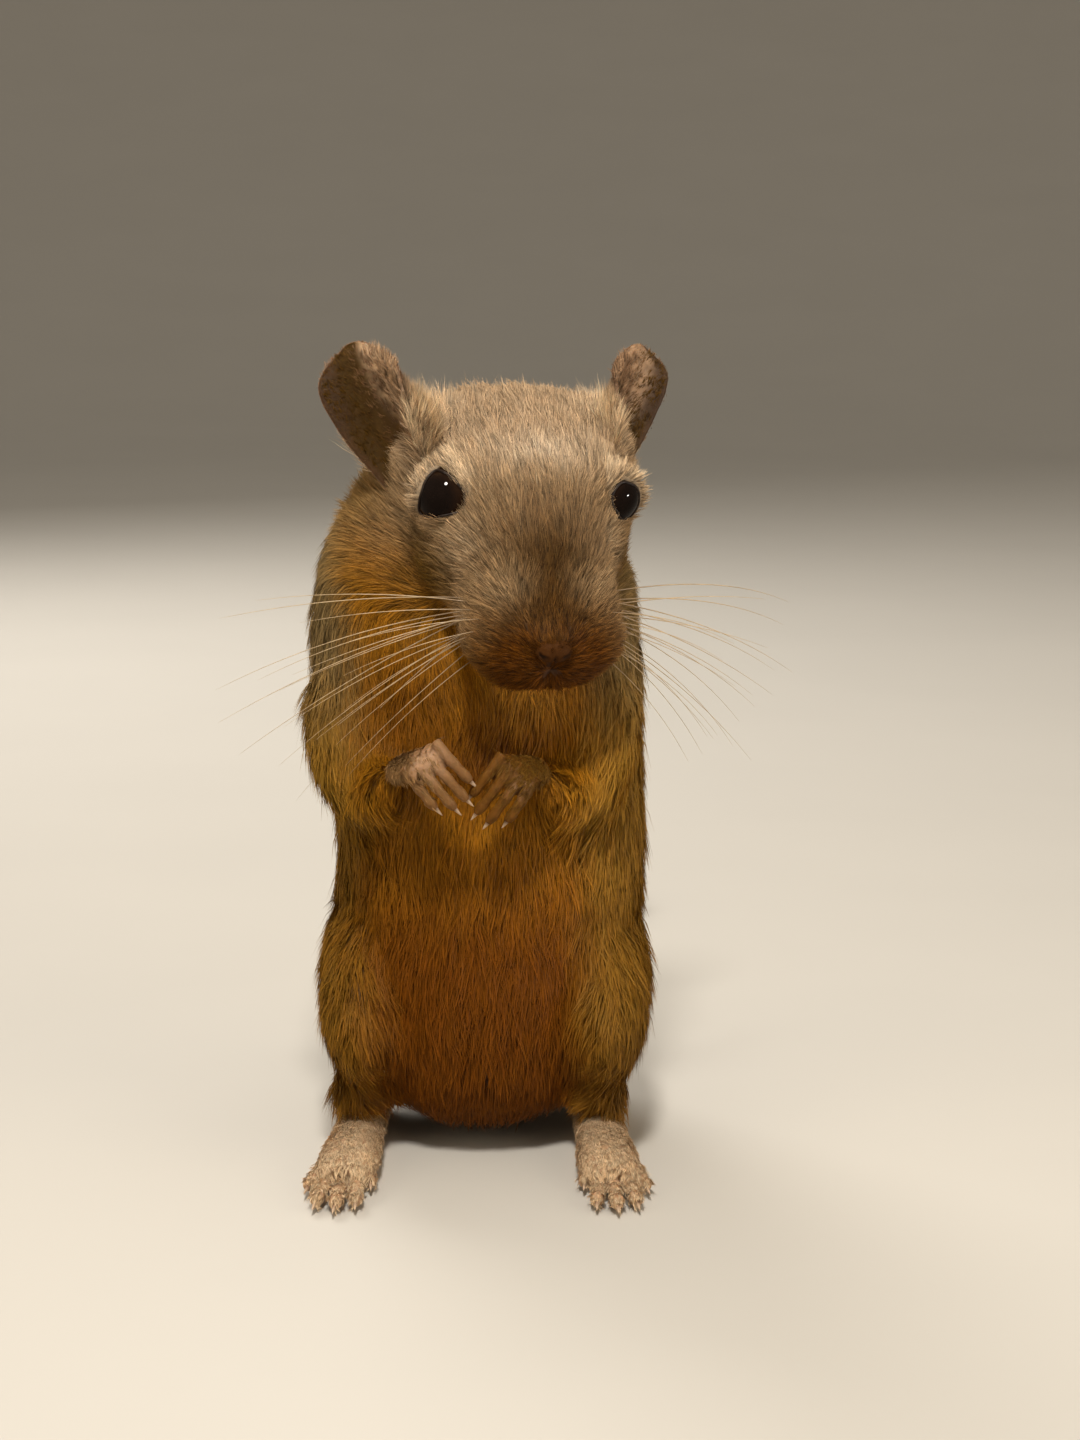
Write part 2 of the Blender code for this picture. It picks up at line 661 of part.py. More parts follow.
def make_foot(name, sign, parent, finish):
    """The long hind foot, flat on the floor, with five clawed toes."""
    foot = tube(name, mirrored(FOOT_ROWS, sign), finish, parent, FOOT_GRID)
    end = np.array(FOOT_ROWS[-1][:3]) * (sign, 1, 1)
    toes = []
    for k, (length, (over, behind)) in enumerate(zip(TOE_LENGTHS, TOE_ROOTS)):
        root = end + (over * sign, behind + 0.8, -0.2)
        way = np.array(((0.05 + over * 0.05) * sign, -1, 0))
        way /= np.linalg.norm(way)
        size = (length, TOE_RADIUS, TOE_CLAW)
        toes += digit(f"toe_{k}", root, way, TOE_DROP, *size, finish, parent)
    return sliced(combine(foot, toes, "UNION", "MANIFOLD"), (0, 0, 0), (0, 0, -1))


# The tail's rows are (x, y, z, radius), from inside the rump to the end of its core.
TAIL_ROWS = (
    (0.0, 20.0, 13.5, 5.2),
    (0.1, 26.0, 10.4, 4.8),
    (0.3, 32.0, 6.8, 4.1),
    (0.6, 39.0, 4.2, 3.5),
    (1.2, 48.0, 3.2, 3.2),
    (2.4, 58.0, 2.95, 3.0),
    (4.0, 68.0, 2.8, 2.85),
    (6.2, 77.8, 2.7, 2.75),
    (8.9, 87.0, 2.55, 2.6),
    (12.0, 95.6, 2.4, 2.4),
    (14.8, 102.8, 2.1, 1.9),
    (16.4, 106.6, 1.8, 1.1),
)
TAIL_CUTS = (5.3, 7.9)
TAIL_GRID = (12, 33)
TAIL_STEPS = 400
LOCK_RINGS = 5
LOCKS_PER_RING = 5
LOCK_LENGTH = 9.5
LOCK_HALF = 1.5
LOCK_FLAT = 0.4
LOCK_TIP = 0.1
LOCK_SIDES = 4
# Each row of a lock is (share along it, share of its width); the first lies inside the core.
LOCK_ROWS = ((-0.22, 0.8), (0.3, 1.0), (0.75, 0.62), (0.97, 0.14))


def lock(name, root, way, out, length, half, finish, parent):
    """A flat tapered tuft that leaves the surface low and bends along the tail."""
    across = np.cross(way, out)
    rows = []
    for share, wide in LOCK_ROWS:
        lift = 0.26 * share - 0.12 * share * share
        thick = LOCK_FLAT * wide + LOCK_TIP
        rows.append((*(root + length * (way * share + out * lift)), half * wide, thick, thick))
    rings = rings_along(np.array(rows) * MM, across, LOCK_SIDES)
    return outward(new_object(name, *skin_of(rings), finish, parent))


def tail_frame(share):
    """The place, the way along and the radius of the tail at a row number that may be a fraction."""
    steps = through(TAIL_ROWS, TAIL_STEPS + 1)
    k = min(int(share / (len(TAIL_ROWS) - 1) * TAIL_STEPS), TAIL_STEPS - 1)
    way = steps[k + 1][:3] - steps[k][:3]
    return steps[k][:3], way / np.linalg.norm(way), steps[k][3]


def make_brush(core, parent, finish):
    """Grows the tufts of the tail's end on the last length of its core."""
    draw = np.random.default_rng(SEED)
    first, last = TAIL_CUTS[1] + 0.35, len(TAIL_ROWS) - 1.35
    tufts = []
    for i in range(LOCK_RINGS):
        place, way, radius = tail_frame(first + (last - first) * i / (LOCK_RINGS - 1))
        wide = np.cross(way, (0, 0, 1))
        wide /= np.linalg.norm(wide)
        up = np.cross(wide, way)
        for j in range(LOCKS_PER_RING):
            turn = 2 * math.pi * (j + 0.5 * (i % 2)) / LOCKS_PER_RING + draw.uniform(-0.12, 0.12)
            out = wide * math.cos(turn) + up * math.sin(turn)
            length = LOCK_LENGTH * draw.uniform(0.85, 1.1) * (0.7 + 0.3 * i / (LOCK_RINGS - 1))
            root = place + out * radius * 0.72
            tufts.append(lock(f"tuft_{i}_{j}", root, way, out, length, LOCK_HALF, finish, parent))
    return combine(core, tufts, "UNION", "MANIFOLD")


def make_tail(parent, finish, brush_finish):
    """Three lengths of tail, parted square to it, that lie on the floor."""
    whole = tube("tail", round_rows(TAIL_ROWS), finish, parent, TAIL_GRID)
    lengths = []
    for k, name in enumerate(("tail_base", "tail_middle", "tail_brush")):
        piece = copy_of(whole, name)
        if k > 0:
            place, way, _ = tail_frame(TAIL_CUTS[k - 1])
            sliced(piece, (place + way * GAP / MM / 2) * MM, -way)
        if k < len(TAIL_CUTS):
            place, way, _ = tail_frame(TAIL_CUTS[k])
            sliced(piece, (place - way * GAP / MM / 2) * MM, way)
        lengths.append(piece)
    drop([whole])
    lengths[2].data.materials[0] = brush_finish
    make_brush(lengths[2], parent, brush_finish)
    for piece in lengths:
        sliced(piece, (0, 0, 0), (0, 0, -1))
    return lengths


def make_trunk(parent, finish):
    """The torso and the neck, parted by a thin cut behind the jaw."""
    torso = tube("torso", TRUNK_ROWS, finish, parent, TRUNK_GRID, power=TRUNK_POWER)
    neck = copy_of(torso, "neck")
    sliced(torso, NECK_CUT - NECK_WAY * GAP / 2, NECK_WAY)
    sliced(neck, NECK_CUT + NECK_WAY * GAP / 2, -NECK_WAY)
    return torso, neck


def centre_on_floor(root):
    """Moves the whole model so that the middle of its box is over the origin."""
    bpy.context.view_layer.update()
    corners = [o.matrix_world @ v.co for o in bpy.data.objects if o.type == "MESH" for v in o.data.vertices]
    low = [min(c[k] for c in corners) for k in range(3)]
    high = [max(c[k] for c in corners) for k in range(3)]
    root.location = (-(low[0] + high[0]) / 2, -(low[1] + high[1]) / 2, -low[2])


def main():
    clear_scene()
    root = bpy.data.objects.new("gerbil", None)
    bpy.context.scene.collection.objects.link(root)
    frame = bpy.data.objects.new("head_frame", None)
    bpy.context.scene.collection.objects.link(frame)
    frame.parent = root
    turn = Matrix.Rotation(HEAD_TURN, 4, "Z") @ Matrix.Rotation(HEAD_NOD, 4, "X")
    frame.matrix_local = Matrix.Translation(HEAD_PLACE) @ turn
    bpy.context.view_layer.update()

    taupe = material("coat_taupe", COAT_TAUPE, 0.75)
    point = material("point_brown", POINT_BROWN, 0.75)
    ear_skin = material("ear_brown", EAR_BROWN, 0.6)
    bare = material("bare_pink", BARE_PINK, 0.55)
    black = material("eye_black", EYE_BLACK, 0.05)

    head = make_head(frame, taupe)
    head_cutter = grown(head)
    lids = [make_lid("lid_" + side, sign, frame, taupe) for side, sign in SIDES]
    combine(head, lids, "UNION", "MANIFOLD")

    jaw = tube("lower_jaw", section_rows(JAW_ROWS), taupe, frame, JAW_GRID)
    nose = make_nose(frame, point)
    sockets = []
    for side, sign in SIDES:
        place, axes = eye_place(sign), eye_axes(sign)
        ball("eye_" + side, place, [EYE_RADIUS] * 3, black, frame, EYE_GRID, axes)
        hollow = [EYE_RADIUS + GAP] * 3
        sockets.append(ball("socket_" + side, place, hollow, black, frame, EYE_GRID, axes))
    groove = tube("philtrum", round_rows(PHILTRUM_ROWS), point, frame, PHILTRUM_GRID)
    combine(head, [*sockets, grown(jaw), grown(nose), groove], "DIFFERENCE", "MANIFOLD")
    whiskers = [w for _, sign in SIDES for w in make_whiskers(sign, frame, taupe)]
    combine(head, whiskers, "UNION", "MANIFOLD")
    torso, neck = make_trunk(root, taupe)
    torso_cutter = grown(torso)
    combine(neck, [copy_of(head_cutter, "head_cutter_neck"), grown(jaw)], "DIFFERENCE")
    combine(torso, [copy_of(head_cutter, "head_cutter_torso"), grown(jaw)], "DIFFERENCE")

    other_hand = None
    for side, sign in SIDES:
        ear = make_ear("ear_" + side, side, sign, frame, ear_skin)
        combine(ear, [copy_of(head_cutter, "head_cutter_ear")], "DIFFERENCE")

        thigh_rows = mirrored(THIGH_ROWS, sign, THIGHS_SHIFT)
        thigh = tube("thigh_" + side, thigh_rows, taupe, root, THIGH_GRID)
        shin = tube("shin_" + side, mirrored(SHIN_ROWS, sign), taupe, root, SHIN_GRID)
        foot = make_foot("foot_" + side, sign, root, bare)
        thigh_cutter, shin_cutter = grown(thigh), grown(shin)
        combine(thigh, [copy_of(torso_cutter, "torso_cutter_thigh")], "DIFFERENCE")
        combine(shin, [thigh_cutter, copy_of(torso_cutter, "torso_cutter_shin")], "DIFFERENCE")
        combine(foot, [shin_cutter], "DIFFERENCE", "MANIFOLD")

        upper_rows = mirrored(UPPER_ARM_ROWS, sign, ARMS_SHIFT)
        upper = tube("upper_arm_" + side, upper_rows, taupe, root, UPPER_ARM_GRID)
        fore = make_forearm("forearm_" + side, side, root, taupe)
        hand = make_hand("hand_" + side, side, root, bare)
        upper_cutter, fore_cutter = grown(upper), grown(fore)
        combine(upper, [copy_of(torso_cutter, "torso_cutter_arm")], "DIFFERENCE")
        combine(fore, [upper_cutter, copy_of(torso_cutter, "torso_cutter_forearm")], "DIFFERENCE")
        hand_cutters = [fore_cutter, copy_of(torso_cutter, "torso_cutter_hand")]
        if other_hand:
            hand_cutters.append(grown(other_hand))
        other_hand = combine(hand, hand_cutters, "DIFFERENCE", "MANIFOLD")

    tail = make_tail(root, taupe, point)
    combine(tail[0], [torso_cutter], "DIFFERENCE")
    drop([head_cutter])
    centre_on_floor(root)
    bpy.context.view_layer.update()


main()
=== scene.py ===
"""The looks of a gerbil sitting upright: skin, coat, ears, eyes, whiskers, paws, floor, light and camera.

Places are in the animal's own measure, in millimetres: it looks along -Y, its left is +X and the
floor is z = 0. placed() turns them into the frame's metres.
"""

import math

import bmesh
import bpy
import numpy as np
from mathutils import Matrix, Vector
from mathutils.bvhtree import BVHTree

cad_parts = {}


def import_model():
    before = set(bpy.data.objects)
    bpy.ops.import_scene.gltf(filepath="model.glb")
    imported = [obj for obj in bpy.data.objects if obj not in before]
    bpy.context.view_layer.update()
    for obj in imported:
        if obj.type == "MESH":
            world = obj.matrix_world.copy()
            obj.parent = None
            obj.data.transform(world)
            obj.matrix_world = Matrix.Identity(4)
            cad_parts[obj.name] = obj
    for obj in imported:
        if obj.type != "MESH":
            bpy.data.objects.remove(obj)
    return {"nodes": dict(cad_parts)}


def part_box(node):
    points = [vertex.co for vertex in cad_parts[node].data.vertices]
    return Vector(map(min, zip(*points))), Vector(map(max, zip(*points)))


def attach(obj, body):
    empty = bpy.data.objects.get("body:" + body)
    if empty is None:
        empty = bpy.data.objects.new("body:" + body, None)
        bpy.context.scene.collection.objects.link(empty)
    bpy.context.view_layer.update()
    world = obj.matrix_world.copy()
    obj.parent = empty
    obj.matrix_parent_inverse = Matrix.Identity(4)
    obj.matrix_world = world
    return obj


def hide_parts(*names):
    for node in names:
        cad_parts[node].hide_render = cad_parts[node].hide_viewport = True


MM = 0.001
SAME_PLACE = 0.001 * MM
SEED = 11
SIDES = (("right", -1), ("left", 1))

# The head's own frame has its origin midway between the eyes, +Y to the nape and +Z to the crown.
HEAD_PLACE = np.array((5.5, -13.0, 74.0))
HEAD_NOD = math.radians(36)
HEAD_TURN = math.radians(12)
EYE_PLACE = np.array((8.5, 0.4, 0.1))
EYE_LOOK = np.array((0.76, -0.60, 0.25))
EYE_RADIUS = 3.5

FLESH = ["head", "lower_jaw", "neck", "torso", "tail_base", "tail_middle"]
FLESH += [f"{limb}_{side}" for limb in ("upper_arm", "forearm", "thigh", "shin") for side, _ in SIDES]


def turned(axis, angle):
    return np.array(Matrix.Rotation(angle, 3, axis))


HEAD_AXES = turned("Z", HEAD_TURN) @ turned("X", HEAD_NOD)


def head_to_body(points):
    """Points of the head's frame in the animal's measure."""
    return np.asarray(points, float) @ HEAD_AXES.T + HEAD_PLACE


def body_to_head(points):
    return (np.asarray(points, float) - HEAD_PLACE) @ HEAD_AXES


def find_shift():
    """How far, in mm, the frame's origin lies from the animal's own, read from the right eye's box."""
    low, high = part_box("eye_right")
    seen = (np.array(low) + np.array(high)) / 2 / MM
    return seen - head_to_body(EYE_PLACE * (-1, 1, 1))


def placed(points):
    """Points in the animal's measure, in mm, as the frame's metres."""
    return (np.asarray(points, float) + SHIFT) * MM


def unplaced(points):
    """Points of the frame, in metres, in the animal's measure."""
    return np.asarray(points, float) / MM - SHIFT


def unit(vectors):
    vectors = np.asarray(vectors, float)
    return vectors / np.maximum(np.linalg.norm(vectors, axis=-1, keepdims=True), 1e-9)


def smoothstep(low, high, values):
    t = np.clip((values - low) / (high - low), 0, 1)
    return t * t * (3 - 2 * t)


def near(points, place, reach):
    """One at the place, fading to nothing past the reach, which may differ along each axis."""
    return np.exp(-(((points - np.asarray(place, float)) / reach) ** 2).sum(-1))


def near_both(points, place, reach):
    """As near, for a place and its mirror image."""
    place = np.asarray(place, float)
    return np.maximum(near(points, place, reach), near(points, place * (-1, 1, 1), reach))


def through(rows, count):
    """A Catmull-Rom curve through the rows, read at count even steps."""
    rows = np.asarray(rows, float)
    padded = np.vstack([2 * rows[0] - rows[1], rows, 2 * rows[-1] - rows[-2]])
    steps = np.linspace(0, len(rows) - 1, count)
    first = np.minimum(steps.astype(int), len(rows) - 2)
    t = (steps - first)[:, None]
    a, b, c, d = (padded[first + k] for k in range(4))
    return 0.5 * (2 * b + (c - a) * t + (2 * a - 5 * b + 4 * c - d) * t**2 + (3 * b - a - 3 * c + d) * t**3)


def mesh_of(name, points, faces):
    """A mesh in the frame's metres from points in the animal's measure and lists of corners."""
    mesh = bpy.data.meshes.new(name)
    mesh.from_pydata(placed(points).tolist(), [], [tuple(f) for f in faces])
    mesh.shade_smooth()
    return mesh


def shown(name, mesh, finish):
    obj = bpy.data.objects.new(name, mesh)
    mesh.materials.append(finish)
    bpy.context.scene.collection.objects.link(obj)
    return obj


def read(mesh, what, name, width=3):
    """An array of one value or vector for each vertex or polygon of the mesh."""
    items = getattr(mesh, what)
    values = np.empty(len(items) * width, np.float32)
    items.foreach_get(name, values)
    return values.reshape(-1, width).astype(float) if width > 1 else values.astype(float)


def triangles_of(mesh):
    mesh.calc_loop_triangles()
    corners = np.empty(len(mesh.loop_triangles) * 3, np.int32)
    mesh.loop_triangles.foreach_get("vertices", corners)
    loops = np.empty(len(mesh.loop_triangles) * 3, np.int32)
    mesh.loop_triangles.foreach_get("loops", loops)
    return corners.reshape(-1, 3), loops.reshape(-1, 3)


def paint(mesh, colours, name="tint"):
    """Stores one linear colour for each vertex."""
    layer = mesh.color_attributes.new(name, "FLOAT_COLOR", "POINT")
    values = np.ones((len(mesh.vertices), 4), np.float32)
    values[:, :3] = np.clip(colours, 0, 1)
    layer.data.foreach_set("color", values.ravel())


def relaxed(values, edges, count, rounds, share=0.5):
    """Averages each vertex's value with its neighbours', several times over; share may vary by vertex."""
    ends = np.concatenate([edges[:, 0], edges[:, 1]])
    others = np.concatenate([edges[:, 1], edges[:, 0]])
    degree = np.maximum(np.bincount(ends, minlength=count), 1)[:, None]
    values = np.array(values, float)
    for _ in range(rounds):
        mean = np.stack([np.bincount(ends, values[others, k], count) for k in range(values.shape[1])], 1) / degree
        values += np.reshape(share, (-1, 1)) * (mean - values)
    return values


def edges_of(mesh):
    edges = np.empty(len(mesh.edges) * 2, np.int32)
    mesh.edges.foreach_get("vertices", edges)
    return edges.reshape(-1, 2)


def remeshed(mesh, voxel):
    """The mesh's outer shell as one even surface of small quads; voxel is in mm."""
    obj = bpy.data.objects.new("shell", mesh)
    bpy.context.scene.collection.objects.link(obj)
    shell = obj.modifiers.new("shell", "REMESH")
    shell.mode = "VOXEL"
    shell.voxel_size = voxel * MM
    shell.use_smooth_shade = True
    made = bpy.data.meshes.new_from_object(obj.evaluated_get(bpy.context.evaluated_depsgraph_get()))
    bpy.data.objects.remove(obj)
    return made


def keep_largest(mesh):
    """Drops every shell but the one with the most vertices."""
    edges, count = edges_of(mesh), len(mesh.vertices)
    label = np.arange(count)
    while True:
        low = np.minimum(label[edges[:, 0]], label[edges[:, 1]])
        before = label.copy()
        np.minimum.at(label, edges[:, 0], low)
        np.minimum.at(label, edges[:, 1], low)
        label = label[label]
        if np.array_equal(label, before):
            break
    names, sizes = np.unique(label, return_counts=True)
    main = names[np.argmax(sizes)]
    work = bmesh.new()
    work.from_mesh(mesh)
    work.verts.ensure_lookup_table()
    bmesh.ops.delete(work, geom=[work.verts[i] for i in np.flatnonzero(label != main)], context="VERTS")
    work.to_mesh(mesh)
    work.free()


def joined(nodes, grow):
    """One mesh of copies of the frame's nodes, each grown by some mm so that the gaps between them close."""
    work = bmesh.new()
    for node in nodes:
        mesh = shaven(node.data) if node.name == "head" else node.data.copy()
        points = read(mesh, "vertices", "co") + read(mesh, "vertices", "normal") * grow * MM
        mesh.vertices.foreach_set("co", points.astype(np.float32).ravel())
        work.from_mesh(mesh)
        bpy.data.meshes.remove(mesh)
    mesh = bpy.data.meshes.new("joined")
    work.to_mesh(mesh)
    work.free()
    return mesh


# Materials

SKIN_GLOW = (0.6, 0.3, 0.15)


def new_material(name):
    made = bpy.data.materials.new(name)
    made.use_nodes = True
    return made, made.node_tree, made.node_tree.nodes["Principled BSDF"]


def node(tree, kind, inputs=None, **settings):
    made = tree.nodes.new(kind)
    for name, value in settings.items():
        setattr(made, name, value)
    for name, value in (inputs or {}).items():
        made.inputs[name].default_value = value
    return made


def tinted_material(name, roughness, grain=(), bump=0.0, subsurface=0.0, gloss=0.5):
    """The vertex colours, mottled by noise of the given scales and strengths, with a fine bump."""
    made, tree, shader = new_material(name)
    tint = node(tree, "ShaderNodeVertexColor", layer_name="tint")
    place = node(tree, "ShaderNodeTexCoord")
    colour = tint.outputs["Color"]
    height = None
    for scale, strength in grain:
        noise = node(tree, "ShaderNodeTexNoise", {"Scale": scale, "Detail": 3.0, "Roughness": 0.6})
        tree.links.new(place.outputs["Object"], noise.inputs["Vector"])
        level = node(tree, "ShaderNodeMapRange", {"From Min": 0.3, "From Max": 0.7})
        level.inputs["To Min"].default_value = 1 - strength
        level.inputs["To Max"].default_value = 1 + strength
        tree.links.new(noise.outputs["Fac"], level.inputs["Value"])
        mix = node(tree, "ShaderNodeVectorMath", operation="SCALE")
        tree.links.new(colour, mix.inputs[0])
        tree.links.new(level.outputs["Result"], mix.inputs["Scale"])
        colour = mix.outputs["Vector"]
        height = noise.outputs["Fac"]
    tree.links.new(colour, shader.inputs["Base Color"])
    shader.inputs["Roughness"].default_value = roughness
    shader.inputs["Specular IOR Level"].default_value = gloss
    if bump and height:
        lift = node(tree, "ShaderNodeBump", {"Strength": bump, "Distance": 0.0002})
        tree.links.new(height, lift.inputs["Height"])
        tree.links.new(lift.outputs["Normal"], shader.inputs["Normal"])
    if subsurface:
        shader.inputs["Subsurface Weight"].default_value = subsurface
        shader.inputs["Subsurface Radius"].default_value = SKIN_GLOW
        shader.inputs["Subsurface Scale"].default_value = 1.0 * MM
    return made


# Eyes

SLIT_RISE = 0.68
# The opening between the lids, a rounded triangle: (turn in degrees from the nose upwards, reach).
LID_OUTLINES = {
    -1: ((-163, 2.0), (-150, 3.2), (-132, 2.8), (-109, 2.4), (-79, 2.0), (-52, 2.4), (-32, 3.4))
    + ((-20, 2.85), (13, 2.15), (50, 2.05), (78, 2.2), (103, 2.55), (122, 2.0), (157, 1.45)),
    1: ((-157, 2.0), (-131, 2.9), (-115, 2.1), (-85, 1.9), (-48, 1.65), (-12, 1.95), (11, 2.1))
    + ((34, 2.15), (53, 2.2), (65, 2.1), (79, 1.75), (117, 1.5), (165, 1.4)),
}
LID_ROUNDING = 3
# The opening's middle in the eye's own axes, towards the nose and up.
LID_CENTRES = {-1: (0.9, 0.6), 1: (0.8, -0.3)}


def eye_axes(side):
    """The eye's own axes as columns: along the slit to the nose, out along its look, and up."""
    look = unit(EYE_LOOK * (side, 1, 1))
    slit = np.array((0.0, -1.0, SLIT_RISE))
    slit = unit(slit - slit @ look * look)
    up = np.cross(slit, look)
    return np.stack([slit, look, up * np.sign(up[2])], axis=1)


def lid_reach(angle, side):
    """How far the opening between the lids reaches from its middle, pointed at its corners."""
    turns, reaches = np.array(LID_OUTLINES[side], float).T
    degrees = np.arange(-180, 180)
    outline = np.interp(degrees, turns, reaches, period=360)
    for _ in range(LID_ROUNDING):
        outline = (np.roll(outline, 4) + outline + np.roll(outline, -4)) / 3
    return np.interp(np.degrees(angle), degrees, outline, period=360)


def in_eye(points, side):
    """Points in the eye's own axes, with their angle round the opening's middle and how far out they are."""
    local = (body_to_head(points) - EYE_PLACE * (side, 1, 1)) @ eye_axes(side)
    over, up = LID_CENTRES[side]
    angle = np.arctan2(local[:, 2] - up, local[:, 0] - over)
    return local, angle, np.hypot(local[:, 0] - over, local[:, 2] - up)


# The skin

SKIN_SHADE = 0.55
VOXEL = 0.42
ARM_ROUNDS = 60
EAR_MOUND_LIFT = 1.5
CLOSING = 0.24
HEAD_COAT = 0.55
BODY_COAT = 1.4
EYE_SINK = 0.8
MOUTH_ROWS = (
    (0.0, -17.9, -11.6),
    (2.6, -16.6, -12.3),
    (4.8, -14.0, -12.6),
    (6.2, -10.6, -12.4),
    (7.0, -7.6, -11.8),
)
PHILTRUM_ROWS = (
    (0.0, -19.6, -6.2),
    (0.0, -19.2, -8.0),
    (0.0, -18.2, -10.0),
    (0.0, -17.4, -11.8),
)


def distance_to(points, route):
    """The distance of each point to a path of straight steps."""
    best = np.full(len(points), 1e9)
    for a, b in zip(route[:-1], route[1:]):
        way = b - a
        t = np.clip((points - a) @ way / max(way @ way, 1e-9), 0, 1)
        best = np.minimum(best, np.linalg.norm(points - a - t[:, None] * way, axis=1))
    return best


def face_share(points):
    """One on the face, falling to nothing on the neck and body."""
    head = body_to_head(points)
    return smoothstep(18, 4, head[:, 1]) * smoothstep(-20, -14, head[:, 2])


def coat_depth(points):
    face = face_share(points)
    tail = smoothstep(26, 36, points[:, 1])
    depth = BODY_COAT + (HEAD_COAT - BODY_COAT) * np.maximum(face, tail * 0.8)
    return depth


# The whiskers' rows, as the solids have them: places are in the head's frame.
WHISKER_FIRST = np.array((6.4, -15.6, -3.4))
WHISKER_BACK = np.array((2.4, 5.4, 0.0))
WHISKER_DOWN = np.array((0.0, 0.0, -6.0))
WHISKER_LENGTHS = (11.0, 25.0)
WHISKER_DROOP = np.array((-0.05, 0.14, -0.34))
WHISKER_WAY = np.array((1.0, -0.10, 0.05))
WHISKER_WAY_BACK = np.array((0.0, 0.35, 0.0))
WHISKER_WAY_DOWN = np.array((0.0, -0.25, -0.8))
SOLID_WHISKERS = (3, 3)
WHISKER_CLEAR = 0.55


def whisker_rule(side, back, low):
    """Where a whisker starts, its way and its length, from its share of the row and of the rows."""
    start = WHISKER_FIRST + WHISKER_BACK * back + WHISKER_DOWN * low
    way = unit(WHISKER_WAY + WHISKER_WAY_BACK * back + WHISKER_WAY_DOWN * low)
    length = WHISKER_LENGTHS[0] + (WHISKER_LENGTHS[1] - WHISKER_LENGTHS[0]) * back
    return start * (side, 1, 1), way * (side, 1, 1), length


def shaven(mesh):
    """A copy of the head's mesh without its whiskers, closed again where they grew."""
    work = bmesh.new()
    work.from_mesh(mesh)
    bmesh.ops.remove_doubles(work, verts=work.verts[:], dist=SAME_PLACE)
    work.verts.ensure_lookup_table()
    points = body_to_head(unplaced([v.co for v in work.verts]))
    near_one = np.zeros(len(points), bool)
    rows, per_row = SOLID_WHISKERS
    t = np.linspace(-0.05, 1, 22)[:, None]
    for _, side in SIDES:
        for row in range(rows):
            for k in range(per_row):
                start, way, length = whisker_rule(side, (k + 1) / per_row, (row + 0.5) / rows)
                route = start + length * (way * t + WHISKER_DROOP * (side, 1, 1) * t * np.abs(t))
                near_one |= distance_to(points, route) < WHISKER_CLEAR
    bmesh.ops.delete(work, geom=[work.verts[i] for i in np.flatnonzero(near_one)], context="VERTS")
    bmesh.ops.holes_fill(work, edges=[e for e in work.edges if e.is_boundary])
    made = bpy.data.meshes.new("shaven_head")
    work.to_mesh(made)
    work.free()
    return made


def ear_mound(points):
    """One where the crown's fur rises against the inner side of each ear."""
    return near_both(body_to_head(points), (9.2, 8.6, 4.4), (2.3, 3.0, 2.6))


def arm_share(points):
    """One on the arms, where the coat of the chest hides their shape."""
    return near_both(points + (0.7, 0, 0), (11.5, -12, 44), (6, 7, 8))


def make_skin(nodes, finish):
    """One surface over the flesh, lower than the solids by the coat's depth, with lids, lips and mouth."""
    pieces = [nodes[name] for name in FLESH]
    pieces += [nodes[f"eye_{side}"] for side, _ in SIDES] + [nodes["nose"]]
    mesh = remeshed(joined(pieces, CLOSING), VOXEL)
    keep_largest(mesh)
    edges, count = edges_of(mesh), len(mesh.vertices)
    points = unplaced(read(mesh, "vertices", "co"))
    face = face_share(points)
    rounds = 26
    points = relaxed(points, edges, count, rounds, 0.5 - 0.34 * face)
    points = relaxed(points, edges, count, ARM_ROUNDS, 0.5 * arm_share(points))
    write(mesh, points)
    normals = read(mesh, "vertices", "normal")
    points -= normals * (CLOSING + coat_depth(points))[:, None]
    points = relaxed(points, edges, count, 2)
    write(mesh, points)
    normals = read(mesh, "vertices", "normal")
    points += normals * (EAR_MOUND_LIFT * ear_mound(points))[:, None]
    for rows, width, depth in ((MOUTH_ROWS, 0.5, 0.7), (PHILTRUM_ROWS, 0.4, 0.5)):
        for side in (-1, 1):
            route = head_to_body(through(rows, 12) * (side, 1, 1))
            sunk = np.exp(-((distance_to(points, route) / width) ** 2)) * depth
            points -= normals * sunk[:, None]
    for _, side in SIDES:
        points = open_lids(points, side)
    write(mesh, points)
    return shown("skin", mesh, finish)


def write(mesh, points):
    mesh.vertices.foreach_set("co", placed(points).astype(np.float32).ravel())
    mesh.update()


def open_lids(points, side):
    """Sinks the skin inside the eye's opening and lays the skin round it on the eyeball."""
    local, angle, out = in_eye(points, side)
    radius = np.linalg.norm(local, axis=1)
    rim = out / lid_reach(angle, side)
    front = local[:, 1] > 0
    inside = front & (rim < 1.0) & (radius < EYE_RADIUS + 2.5)
    aim = np.where(inside, EYE_RADIUS - EYE_SINK, radius)
    around = front & (rim >= 1.0) & (rim < 1.9) & (radius < EYE_RADIUS + 2.5)
    skin = EYE_RADIUS + 0.15 + 0.9 * (rim - 1.0)
    share = smoothstep(1.9, 1.15, rim)
    aim = np.where(around, radius + (np.maximum(skin, EYE_RADIUS + 0.1) - radius) * share, aim)
    centre = head_to_body(EYE_PLACE * (side, 1, 1))
    return centre + (points - centre) * (aim / np.maximum(radius, 1e-6))[:, None]


# Colours, as linear red, green and blue

